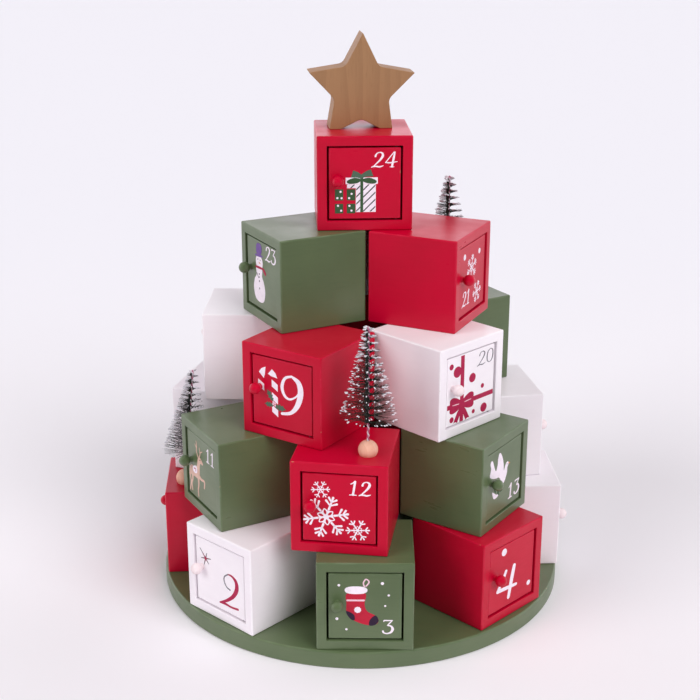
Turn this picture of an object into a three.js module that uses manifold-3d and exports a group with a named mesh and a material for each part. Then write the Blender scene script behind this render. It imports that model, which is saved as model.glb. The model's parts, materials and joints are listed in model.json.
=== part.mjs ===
// Advent calendar of painted wood: a round board, 24 boxes with hinged doors in five tiers,
// a star on the top box and three bottle brush trees on box tops.
// Millimetres, +Z up. The origin is the middle of the board's underside and the front faces -Y.
import * as THREE from 'three';
import * as BufferGeometryUtils from 'three/addons/utils/BufferGeometryUtils.js';
import Module from 'manifold-3d';

const wasm = await Module();
wasm.setup();

// Base board, reaching a margin past the outer corners of the bottom boxes' true places
const BOARD_MARGIN = 0.2;
const BOARD_THICKNESS = 13;
const BOARD_EDGE = 1.5;
const BOARD_SIDES = 72;

// Boxes: cubes with walls of one thickness and a back panel let in behind
const BOX_SIZE = 66;
const BOX_WALL = 7;
const BOX_BACK = 5;
const BOX_CHAMFER = 0.8;

// Gap between the inner corners of two boxes that stand side by side in their true places
const BOX_SEAM = 0.8;

// Doors: inset panels that turn on two pins near their right edge
const DOOR_THICKNESS = 5;
const DOOR_RECESS = 1;
const DOOR_GAP = 1.2;
const DOOR_CHAMFER = 0.6;
const PIN_RADIUS = 1;
const PIN_FROM_EDGE = 3;
const PIN_BITE = 3;
const PIN_CLEARANCE = 0.3;
const PIN_SIDES = 6;

// Knobs: a ball on a short neck, near the door's left edge
const KNOB_RADIUS = 4.1;
const KNOB_NECK_RADIUS = 1.9;
const KNOB_STANDOFF = 5.2;
const KNOB_FROM_EDGE = 6;
const KNOB_RISE = 2.6;
const KNOB_SIDES = 8;
const KNOB_BANDS = 5;

// Star: five points of one radius, rounded notches, the two lower points cut flat to stand on. It was
// glued a little out of true: moved along its box's width, turned, and rolled, both in degrees
const STAR_POINTS = 5;
const STAR_RADIUS = 38.7;
const STAR_NOTCH_RADIUS = 19.9;
const STAR_THICKNESS = 20;
const STAR_FOOT_CUT = 4.5;
const STAR_NOTCH_ROUNDING = 3;
const STAR_TIP_ROUNDING = 0.6;
const STAR_SETBACK = 26.5;
const STAR_SHIFT = -1.3;
const STAR_TURN = 4;
const STAR_ROLL = 1;

// Trees: a bored ball with a flat underside, and a wire with bristles in a twisted double row
const FOOT_RADIUS = 6.7;
const FOOT_FLAT = 3;
const FOOT_SIDES = 14;
const FOOT_BANDS = 9;
const WIRE_RADIUS = 0.9;
const WIRE_BITE = 7;
const WIRE_CLEARANCE = 0.3;
const WIRE_SIDES = 8;
const TREE_HEIGHT = 90.4;
const BRUSH_START = 22.8;
const BRUSH_RADIUS = 20;
const BRUSH_TOP_RADIUS = 3.2;
const BRUSH_PITCH = 10;
const STRAND_LEVELS = 69;
const STRAND_RADIUS = 0.36;
const STRAND_SIDES = 3;
const STRAND_RISE = 8;

// Tiers from the bottom up. Bearings are degrees from the front, rising to the viewer's right,
// and the numbers of a tier follow one another round it. The upper tiers stand a little off centre.
const TIERS = [
  { boxes: 8, firstBearing: -88, shiftX: 0, shiftY: 0 },
  { boxes: 7, firstBearing: -157, shiftX: -3, shiftY: 2 },
  { boxes: 5, firstBearing: 118, shiftX: -2, shiftY: 4 },
  { boxes: 3, firstBearing: 60, shiftX: 4, shiftY: 9 },
  { boxes: 1, firstBearing: 3, shiftX: 0.3, shiftY: -0.4 },
];

// Boxes that were glued a little out of true: degrees along the ring, millimetres out of it, and
// degrees about themselves
const HAND_SET = {
  1: { slide: 0, out: 0, twist: 1.3 },
  2: { slide: 0.3, out: 0, twist: -0.2 },
  3: { slide: -0.8, out: 0.2, twist: -2 },
  4: { slide: 0.2, out: -1, twist: -1.7 },
  5: { slide: 1, out: 1.5, twist: 0 },
  11: { slide: 0.4, out: -1.2, twist: -7 },
  12: { slide: -1.6, out: 0.8, twist: -4.2 },
  13: { slide: 0, out: -1.5, twist: 7 },
  16: { slide: 0, out: -0.4, twist: 2.5 },
  18: { slide: 1, out: 0.3, twist: 5 },
  19: { slide: 0.2, out: -0.2, twist: -7.9 },
  20: { slide: -2, out: -0.9, twist: 0.6 },
  21: { slide: -2.8, out: 0.3, twist: 7.1 },
  23: { slide: 1.5, out: 0.8, twist: -3.7 },
};
const TRUE_SET = { slide: 0, out: 0, twist: 0 };

// Trees by the box they stand on: how far in from its right side and from its door's side, and the
// wire's lean towards the back of the box in degrees
const TREES = [
  { name: 'front', box: 12, fromRight: 16, fromFront: 18.4, lean: 0 },
  { name: 'left', box: 1, fromRight: 18.5, fromFront: 14, lean: 6 },
  { name: 'back', box: 16, fromRight: 37, fromFront: 38.4, lean: 0 },
];

// Paint of each box, in the order of the numbers: red, white or green
const PAINT_ORDER = 'RWGRWGRWGWGRGWRGRWRWRWGR';
const PAINT = {
  R: new THREE.MeshStandardMaterial({ color: 0xb5202f, roughness: 0.45, metalness: 0 }),
  W: new THREE.MeshStandardMaterial({ color: 0xf1ecf0, roughness: 0.45, metalness: 0 }),
  G: new THREE.MeshStandardMaterial({ color: 0x5f7052, roughness: 0.5, metalness: 0 }),
};
const STAR_WOOD = new THREE.MeshStandardMaterial({ color: 0xa0764f, roughness: 0.6, metalness: 0 });
const BALL_WOOD = new THREE.MeshStandardMaterial({ color: 0xe5b090, roughness: 0.6, metalness: 0 });
const BRISTLE = new THREE.MeshStandardMaterial({ color: 0x2b352f, roughness: 0.8, metalness: 0 });

// Sizes worked out from the ones above
const OPENING = BOX_SIZE - 2 * BOX_WALL;
const DOOR_SIZE = OPENING - 2 * DOOR_GAP;
const HINGE_X = OPENING / 2 - DOOR_GAP - PIN_FROM_EDGE;
const HINGE_Y = -BOX_SIZE / 2 + DOOR_RECESS + DOOR_THICKNESS / 2;
const DOOR_LEFT = PIN_FROM_EDGE - DOOR_SIZE;
const STAR_HEART = STAR_RADIUS * Math.cos(Math.PI / STAR_POINTS) - STAR_FOOT_CUT;
const FOOT_HEART = FOOT_RADIUS - FOOT_FLAT;
const BOARD_RADIUS = Math.hypot(ringRadius(TIERS[0].boxes) + BOX_SIZE / 2, BOX_SIZE / 2) + BOARD_MARGIN;

// Cutters reach this far past the face that they cut
const OVERCUT = 2;
const MERGE_STEP = 1e-4;
const CORNER_STEPS = 3;
const DEGREE = Math.PI / 180;

/** Turns a closed geometry into a solid that can be joined and cut. */
function toSolid(geometry) {
  const bare = geometry.clone();
  bare.deleteAttribute('normal');
  bare.deleteAttribute('uv');
  const merged = BufferGeometryUtils.mergeVertices(bare, MERGE_STEP);
  const corners = merged.index.array;
  const faces = [];
  for (let i = 0; i < corners.length; i += 3) {
    const [a, b, c] = [corners[i], corners[i + 1], corners[i + 2]];
    if (a !== b && b !== c && c !== a) faces.push(a, b, c);
  }
  return new wasm.Manifold(new wasm.Mesh({
    numProp: 3,
    vertProperties: new Float32Array(merged.attributes.position.array),
    triVerts: new Uint32Array(faces),
  }));
}

/** Turns a solid back into a geometry with flat shaded faces. */
function toGeometry(solid) {
  const mesh = solid.getMesh();
  const geometry = new THREE.BufferGeometry();
  geometry.setAttribute('position', new THREE.BufferAttribute(mesh.vertProperties, 3));
  geometry.setIndex(new THREE.BufferAttribute(mesh.triVerts, 1));
  geometry.computeVertexNormals();
  return geometry;
}

/** A named mesh of one sub-part. */
function part(name, geometry, material) {
  const mesh = new THREE.Mesh(geometry, material);
  mesh.name = name;
  return mesh;
}

/** A block centred on the origin with all its edges chamfered. */
function chamferedBlock(width, depth, height, chamfer) {
  const x = width / 2 - chamfer;
  const z = height / 2 - chamfer;
  const outline = new THREE.Shape([
    new THREE.Vector2(-x, -z), new THREE.Vector2(x, -z),
    new THREE.Vector2(x, z), new THREE.Vector2(-x, z),
  ]);
  const block = new THREE.ExtrudeGeometry(outline, {
    depth: depth - 2 * chamfer,
    bevelThickness: chamfer,
    bevelSize: chamfer,
    bevelSegments: 1,
  });
  block.translate(0, 0, chamfer - depth / 2);
  return block.rotateX(90 * DEGREE);
}

/** An upright cylinder of a few sides from one height to another. */
function uprightRod(radius, bottom, top, sides) {
  const rod = new THREE.CylinderGeometry(radius, radius, top - bottom, sides);
  rod.rotateX(90 * DEGREE);
  return rod.translate(0, 0, (bottom + top) / 2);
}

/** The round board, with its upper and lower edges eased. */
function boardGeometry() {
  const profile = [
    new THREE.Vector2(0, 0),
    new THREE.Vector2(BOARD_RADIUS - BOARD_EDGE, 0),
    new THREE.Vector2(BOARD_RADIUS, BOARD_EDGE),
    new THREE.Vector2(BOARD_RADIUS, BOARD_THICKNESS - BOARD_EDGE),
    new THREE.Vector2(BOARD_RADIUS - BOARD_EDGE, BOARD_THICKNESS),
    new THREE.Vector2(0, BOARD_THICKNESS),
  ];
  const board = new THREE.LatheGeometry(profile, BOARD_SIDES).rotateX(90 * DEGREE);
  return toGeometry(toSolid(board));
}

/** A box case, centred on the origin and open to -Y, with a blind hole for each hinge pin. */
function caseGeometry() {
  const depth = BOX_SIZE - BOX_BACK + OVERCUT;
  const hollow = new THREE.BoxGeometry(OPENING, depth, OPENING);
  hollow.translate(0, (BOX_SIZE / 2 - BOX_BACK) - depth / 2, 0);
  const reach = OPENING / 2 + PIN_BITE + PIN_CLEARANCE;
  const holes = uprightRod(PIN_RADIUS + PIN_CLEARANCE, -reach, reach, PIN_SIDES);
  holes.translate(HINGE_X, HINGE_Y, 0);
  const block = toSolid(chamferedBlock(BOX_SIZE, BOX_SIZE, BOX_SIZE, BOX_CHAMFER));
  return toGeometry(block.subtract(toSolid(hollow)).subtract(toSolid(holes)));
}

/** The knob's outline turned about its axis, from the panel's face out to the end of the ball. */
function knobGeometry() {
  const meet = Math.asin(KNOB_NECK_RADIUS / KNOB_RADIUS);
  const profile = [
    new THREE.Vector2(0, -DOOR_THICKNESS / 2),
    new THREE.Vector2(KNOB_NECK_RADIUS, -DOOR_THICKNESS / 2),
  ];
  for (let band = 0; band <= KNOB_BANDS; band += 1) {
    const angle = meet + (Math.PI - meet) * (band / KNOB_BANDS);
    const out = band === KNOB_BANDS ? 0 : KNOB_RADIUS * Math.sin(angle);
    profile.push(new THREE.Vector2(out, KNOB_STANDOFF - KNOB_RADIUS * Math.cos(angle)));
  }
  const knob = new THREE.LatheGeometry(profile, KNOB_SIDES);
  return knob.rotateX(180 * DEGREE);
}

/** A door about its hinge axis: the panel, its knob and the two pins that it turns on. */
function doorGeometry() {
  const panel = chamferedBlock(DOOR_SIZE, DOOR_THICKNESS, DOOR_SIZE, DOOR_CHAMFER);
  panel.translate(DOOR_LEFT + DOOR_SIZE / 2, 0, 0);
  const reach = OPENING / 2 + PIN_BITE;
  const pins = uprightRod(PIN_RADIUS, -reach, reach, PIN_SIDES);
  const knob = knobGeometry();
  knob.translate(DOOR_LEFT + KNOB_FROM_EDGE, -DOOR_THICKNESS / 2, KNOB_RISE);
  return toGeometry(toSolid(panel).add(toSolid(pins)).add(toSolid(knob)));
}

/** The star's outline round its heart, with short curves at its tips and in its notches. */
function starOutline() {
  const corners = [];
  const count = 2 * STAR_POINTS;
  for (let i = 0; i < count; i += 1) {
    const isTip = i % 2 === 0;
    const radius = isTip ? STAR_RADIUS : STAR_NOTCH_RADIUS;
    const angle = Math.PI * (0.5 + i / STAR_POINTS) - STAR_ROLL * DEGREE;
    const rounding = isTip ? STAR_TIP_ROUNDING : STAR_NOTCH_ROUNDING;
    const place = new THREE.Vector2(Math.cos(angle), Math.sin(angle)).multiplyScalar(radius);
    corners.push({ place, rounding });
  }
  const outline = new THREE.Shape();
  corners.forEach(({ place, rounding }, i) => {
    const before = corners[(i + count - 1) % count].place.clone().sub(place).setLength(rounding).add(place);
    const after = corners[(i + 1) % count].place.clone().sub(place).setLength(rounding).add(place);
    if (i === 0) outline.moveTo(before.x, before.y);
    else outline.lineTo(before.x, before.y);
    outline.quadraticCurveTo(place.x, place.y, after.x, after.y);
  });
  return outline;
}

/** The star standing on z = 0 with its thickness along Y, its two lower points cut flat. */
function starGeometry() {
  const star = new THREE.ExtrudeGeometry(starOutline(), {
    depth: STAR_THICKNESS,
    bevelEnabled: false,
    curveSegments: CORNER_STEPS,
  });
  star.translate(0, STAR_HEART, -STAR_THICKNESS / 2).rotateX(90 * DEGREE);
  const span = 2 * (STAR_RADIUS + OVERCUT);
  const ground = new THREE.BoxGeometry(span, STAR_THICKNESS + 2 * OVERCUT, span);
  ground.translate(0, 0, -span / 2);
  return toGeometry(toSolid(star).subtract(toSolid(ground)));
}

/** A tree's ball foot standing on z = 0, bored along the wire's lean. */
function footGeometry(lean) {
  const ball = new THREE.SphereGeometry(FOOT_RADIUS, FOOT_SIDES, FOOT_BANDS).rotateX(90 * DEGREE);
  ball.translate(0, 0, FOOT_HEART);
  const span = 2 * (FOOT_RADIUS + OVERCUT);
  const ground = new THREE.BoxGeometry(span, span, span).translate(0, 0, -span / 2);
  const floor = FOOT_RADIUS - WIRE_BITE - WIRE_CLEARANCE;
  const bore = uprightRod(WIRE_RADIUS + WIRE_CLEARANCE, floor, FOOT_RADIUS + OVERCUT, WIRE_SIDES);
  bore.rotateX(-lean * DEGREE).translate(0, 0, FOOT_HEART);
  return toGeometry(toSolid(ball).subtract(toSolid(ground)).subtract(toSolid(bore)));
}

/** One bristle of three sides, from inside the wire out to the brush's cone. */
function strandGeometry(height, turn, reach) {
  const strand = new THREE.ConeGeometry(STRAND_RADIUS, reach, STRAND_SIDES);
  strand.translate(0, reach / 2, 0).rotateZ((STRAND_RISE - 90) * DEGREE);
  strand.rotateX(90 * DEGREE).rotateZ(turn);
  return strand.translate(0, 0, height);
}

/** A brush about the ball's heart: the wire, and bristles in a double row that twists up it. */
function brushGeometry() {
  const start = BRUSH_START - FOOT_HEART;
  const top = TREE_HEIGHT - FOOT_HEART;
  let brush = toSolid(uprightRod(WIRE_RADIUS, FOOT_RADIUS - WIRE_BITE, top, WIRE_SIDES));
  for (let level = 0; level < STRAND_LEVELS; level += 1) {
    const share = level / STRAND_LEVELS;
    const height = start + (top - start) * share;
    const reach = BRUSH_RADIUS + (BRUSH_TOP_RADIUS - BRUSH_RADIUS) * share;
    const turn = -2 * Math.PI * ((height - start) / BRUSH_PITCH);
    for (const side of [0, Math.PI]) {
      brush = brush.add(toSolid(strandGeometry(height, turn + side, reach)));
    }
  }
  return toGeometry(brush);
}

/** Distance from a tier's middle to its boxes' middles, with the inner corners a seam apart. */
function ringRadius(boxes) {
  if (boxes === 1) return 0;
  return (BOX_SIZE + BOX_SEAM) / (2 * Math.tan(Math.PI / boxes)) + BOX_SIZE / 2 + BOX_SEAM / 2;
}

/** A group at a box's place, centred on it and turned so that its door faces outward. */
function boxPlace(tier, level, index, number) {
  const { slide, out, twist } = HAND_SET[number] ?? TRUE_SET;
  const bearing = tier.firstBearing + (360 / tier.boxes) * index + slide;
  const radius = ringRadius(tier.boxes) + out;
  const place = new THREE.Group();
  place.position.set(
    tier.shiftX + radius * Math.sin(bearing * DEGREE),
    tier.shiftY - radius * Math.cos(bearing * DEGREE),
    BOARD_THICKNESS + BOX_SIZE * (level + 0.5),
  );
  place.rotation.z = (bearing + twist) * DEGREE;
  return place;
}

/** Stands the trees on the tops of their boxes. */
function addTrees(places) {
  const brush = brushGeometry();
  for (const tree of TREES) {
    const stand = new THREE.Group();
    stand.position.set(BOX_SIZE / 2 - tree.fromRight, tree.fromFront - BOX_SIZE / 2, BOX_SIZE / 2);
    stand.add(part(`tree_foot_${tree.name}`, footGeometry(tree.lean), BALL_WOOD));
    const wire = part(`tree_brush_${tree.name}`, brush, BRISTLE);
    wire.position.z = FOOT_HEART;
    wire.rotation.x = -tree.lean * DEGREE;
    stand.add(wire);
    places[tree.box].add(stand);
  }
}

/** Builds the whole calendar. */
function buildCalendar() {
  const calendar = new THREE.Group();
  calendar.add(part('base_board', boardGeometry(), PAINT.G));
  const boxCase = caseGeometry();
  const door = doorGeometry();
  const places = {};
  let number = 0;
  TIERS.forEach((tier, level) => {
    for (let index = 0; index < tier.boxes; index += 1) {
      number += 1;
      const label = String(number).padStart(2, '0');
      const paint = PAINT[PAINT_ORDER[number - 1]];
      const place = boxPlace(tier, level, index, number);
      place.add(part(`case_${label}`, boxCase, paint));
      const leaf = part(`door_${label}`, door, paint);
      leaf.position.set(HINGE_X, HINGE_Y, 0);
      place.add(leaf);
      calendar.add(place);
      places[number] = place;
    }
  });
  const star = part('top_star', starGeometry(), STAR_WOOD);
  star.position.set(STAR_SHIFT, STAR_SETBACK + (STAR_THICKNESS - BOX_SIZE) / 2, BOX_SIZE / 2);
  star.rotation.z = STAR_TURN * DEGREE;
  places[number].add(star);
  addTrees(places);
  return calendar;
}

export default buildCalendar();
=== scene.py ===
"""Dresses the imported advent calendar: painted boxes with printed doors, a wooden star and three brush trees.

Sizes are in millimetres and become metres as each mesh is made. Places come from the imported
frame: a box's middle from its case, and the way it faces from the hinge of its door.
"""

import json
import logging
import random
from collections.abc import Iterable, Sequence
from dataclasses import dataclass, field
from enum import Enum
from functools import cache
from math import acos, asin, atan2, cos, dist, pi, radians, sin, sqrt, tan
from typing import Any, Protocol

import bmesh
import bpy
from bpy.types import Material, Mesh, Node, NodeSocket, NodeTree, Object
from mathutils import Matrix, Vector
from mathutils.geometry import tessellate_polygon

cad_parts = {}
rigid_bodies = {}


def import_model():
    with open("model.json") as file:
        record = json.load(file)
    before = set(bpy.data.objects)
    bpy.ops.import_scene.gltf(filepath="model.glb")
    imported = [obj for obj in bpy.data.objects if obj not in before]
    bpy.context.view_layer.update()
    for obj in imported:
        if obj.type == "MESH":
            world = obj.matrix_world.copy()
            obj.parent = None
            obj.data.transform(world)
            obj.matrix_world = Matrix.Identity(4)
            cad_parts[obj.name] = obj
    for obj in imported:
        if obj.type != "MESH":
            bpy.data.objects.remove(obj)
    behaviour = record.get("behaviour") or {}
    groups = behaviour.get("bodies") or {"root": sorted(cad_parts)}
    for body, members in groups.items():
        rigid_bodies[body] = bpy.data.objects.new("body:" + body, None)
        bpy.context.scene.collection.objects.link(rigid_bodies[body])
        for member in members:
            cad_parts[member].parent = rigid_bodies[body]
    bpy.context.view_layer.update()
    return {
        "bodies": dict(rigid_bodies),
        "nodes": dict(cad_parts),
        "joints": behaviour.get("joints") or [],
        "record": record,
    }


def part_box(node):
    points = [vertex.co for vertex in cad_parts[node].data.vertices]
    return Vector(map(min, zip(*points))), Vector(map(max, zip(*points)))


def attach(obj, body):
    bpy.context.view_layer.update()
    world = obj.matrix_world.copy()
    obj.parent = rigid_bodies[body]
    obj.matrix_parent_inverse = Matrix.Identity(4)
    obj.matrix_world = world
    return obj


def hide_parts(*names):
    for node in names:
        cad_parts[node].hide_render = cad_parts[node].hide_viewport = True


LOG = logging.getLogger("advent_calendar")
MM = 0.001
SHARP_ANGLE = radians(40)

Point = tuple[float, float]
Triple = tuple[float, float, float]
Pen = Triple
Colour = tuple[float, float, float, float]


# Colours and choices


def srgb(red: int, green: int, blue: int) -> Colour:
    """Turns a colour of three bytes into the linear one that shaders take.

    Args:
        red: Red, 0 to 255.
        green: Green, 0 to 255.
        blue: Blue, 0 to 255.

    Returns:
        Linear red, green, blue and an alpha of 1.
    """
    shares = [byte / 255 for byte in (red, green, blue)]
    linear = [s / 12.92 if s <= 0.04045 else ((s + 0.055) / 1.055) ** 2.4 for s in shares]
    return (*linear, 1.0)


class Paint(Enum):
    """The paints of the boxes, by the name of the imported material."""

    RED = "red_paint"
    WHITE = "white_paint"
    GREEN = "green_paint"


class Ink(Enum):
    """The inks of the prints on the doors."""

    WHITE = srgb(248, 236, 248)
    GREY = srgb(150, 145, 152)
    SLATE = srgb(108, 103, 113)
    CRIMSON = srgb(176, 28, 74)
    RED = srgb(192, 34, 60)
    GREEN = srgb(62, 92, 62)
    PINE = srgb(56, 70, 64)
    MOSS = srgb(84, 108, 90)
    TAN = srgb(222, 184, 168)
    PURPLE = srgb(112, 78, 152)
    PLUM = srgb(52, 34, 58)
    ORANGE = srgb(222, 140, 50)
    PINK = srgb(240, 200, 215)


class Edge(Enum):
    """How the edges of a painted piece run, for their wear and painted highlight."""

    BLOCK = "block"
    DISC = "disc"
    NONE = "none"


class Flake(Enum):
    """The strokes of a snowflake's arm as (along, across, width), all but the first drawn on both sides."""

    FERN = (
        ((0.36, 0.0, 0.1), (0.66, 0.0, 0.075), (0.93, 0.0, 0.1)),
        ((0.54, 0.0, 0.07), (0.62, 0.11, 0.07), (0.71, 0.235, 0.095)),
        ((0.72, 0.0, 0.065), (0.79, 0.08, 0.07), (0.875, 0.165, 0.09)),
    )
    STAR = (
        ((0.34, 0.0, 0.12), (0.7, 0.0, 0.1), (0.93, 0.0, 0.12)),
        ((0.6, 0.0, 0.09), (0.7, 0.12, 0.1), (0.8, 0.24, 0.12)),
    )


# Outlines


def smooth_through(points: Sequence[tuple[float, ...]], steps: int = 5,
                   closed: bool = False) -> list[tuple[float, ...]]:
    """Runs a smooth curve through points of any number of values.

    Args:
        points: The points that the curve passes through.
        steps: Pieces of curve between two points.
        closed: Whether it ends where it starts.

    Returns:
        The points of the curve.
    """
    count = len(points)
    spans = count if closed else count - 1
    made = []
    for i in range(spans):
        if closed:
            four = [points[(i + k) % count] for k in (-1, 0, 1, 2)]
        else:
            four = [points[max(0, min(count - 1, i + k))] for k in (-1, 0, 1, 2)]
        for step in range(steps):
            t = step / steps
            weights = (
                (-t + 2 * t**2 - t**3) / 2,
                (2 - 5 * t**2 + 3 * t**3) / 2,
                (t + 4 * t**2 - 3 * t**3) / 2,
                (t**3 - t**2) / 2,
            )
            made.append(tuple(sum(w * p[k] for w, p in zip(weights, four)) for k in range(len(points[0]))))
    if not closed:
        made.append(tuple(points[-1]))
    return made


def blob(points: Sequence[Point], steps: int = 5) -> list[Point]:
    """Draws a closed smooth outline through points, with some pieces of curve between two of them."""
    return smooth_through(points, steps, closed=True)


def rectangle(left: float, low: float, right: float, high: float) -> list[Point]:
    """Draws an upright rectangle between two corners."""
    return [(left, low), (right, low), (right, high), (left, high)]


def soften(outline: Sequence[Point], passes: int = 2) -> list[Point]:
    """Rounds the corners of a closed outline by cutting them again and again.

    Args:
        outline: The corners.
        passes: How often each corner is cut.

    Returns:
        The rounder outline.
    """
    made = list(outline)
    for _ in range(passes):
        cut = []
        for (ax, ay), (bx, by) in zip(made, made[1:] + made[:1]):
            cut.append((0.75 * ax + 0.25 * bx, 0.75 * ay + 0.25 * by))
            cut.append((0.25 * ax + 0.75 * bx, 0.25 * ay + 0.75 * by))
        made = cut
    return made


def oval(x: float, y: float, across: float, up: float, turn: float = 0.0, sides: int = 28) -> list[Point]:
    """Draws an oval.

    Args:
        x: Its middle, to the right.
        y: Its middle, upward.
        across: Its half width before it is turned.
        up: Its half height before it is turned.
        turn: How far it is turned, in degrees.
        sides: Points round it.

    Returns:
        The outline.
    """
    c, s = cos(radians(turn)), sin(radians(turn))
    around = [2 * pi * i / sides for i in range(sides)]
    return [
        (x + c * across * cos(a) - s * up * sin(a),
         y + s * across * cos(a) + c * up * sin(a))
        for a in around
    ]


def placed(outline: Iterable[Point], x: float, y: float, scale: float = 1.0,
           turn: float = 0.0) -> list[Point]:
    """Scales an outline, turns it by an angle in degrees and moves its origin to a point."""
    c, s = scale * cos(radians(turn)), scale * sin(radians(turn))
    return [(x + c * u - s * v, y + s * u + c * v) for u, v in outline]


def pen_outline(pens: Sequence[Pen], cap_steps: int = 4) -> list[Point]:
    """Draws the outline of a stroke whose width changes along it, with round ends.

    Args:
        pens: Points of the stroke as (right, up, width).
        cap_steps: Points on each half of a round end.

    Returns:
        The closed outline.
    """
    line = smooth_through(pens, 6)
    left, right, ends = [], [], []
    for i, (x, y, width) in enumerate(line):
        ahead, behind = line[min(i + 1, len(line) - 1)], line[max(i - 1, 0)]
        along = Vector((ahead[0] - behind[0], ahead[1] - behind[1])).normalized()
        side = Vector((-along.y, along.x)) * (width / 2)
        left.append((x + side.x, y + side.y))
        right.append((x - side.x, y - side.y))
        ends.append((x, y, width / 2, atan2(along.y, along.x)))

    def cap(end: tuple[float, ...], start: float) -> list[Point]:
        """The inner points of a round end that starts at an angle from the stroke's way."""
        x, y, radius, heading = end
        turns = [heading + start - pi * k / (2 * cap_steps) for k in range(1, 2 * cap_steps)]
        return [(x + radius * cos(a), y + radius * sin(a)) for a in turns]

    return [*left, *cap(ends[-1], pi / 2), *reversed(right), *cap(ends[0], -pi / 2)]


def clip_to_box(outline: list[Point], low: Point, high: Point) -> list[Point]:
    """Cuts a convex outline to an upright box.

    Args:
        outline: The corners.
        low: The box's lower left corner.
        high: The box's upper right corner.

    Returns:
        What is left, which may be nothing.
    """
    for axis, limit, sign in ((0, low[0], 1), (0, high[0], -1), (1, low[1], 1), (1, high[1], -1)):
        kept: list[Point] = []
        for a, b in zip(outline, outline[1:] + outline[:1]):
            inside_a, inside_b = sign * (a[axis] - limit) >= 0, sign * (b[axis] - limit) >= 0
            if inside_a:
                kept.append(a)
            if inside_a != inside_b:
                share = (limit - a[axis]) / (b[axis] - a[axis])
                kept.append((a[0] + share * (b[0] - a[0]), a[1] + share * (b[1] - a[1])))
        outline = kept
    return outline


# Meshes


def turns_round(radius: float, sides: int) -> list[float]:
    """Gives the angles of a ring's points, or a single one for a tip, whose radius is 0."""
    count = sides if radius > 0 else 1
    return [2 * pi * i / count for i in range(count)]


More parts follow.
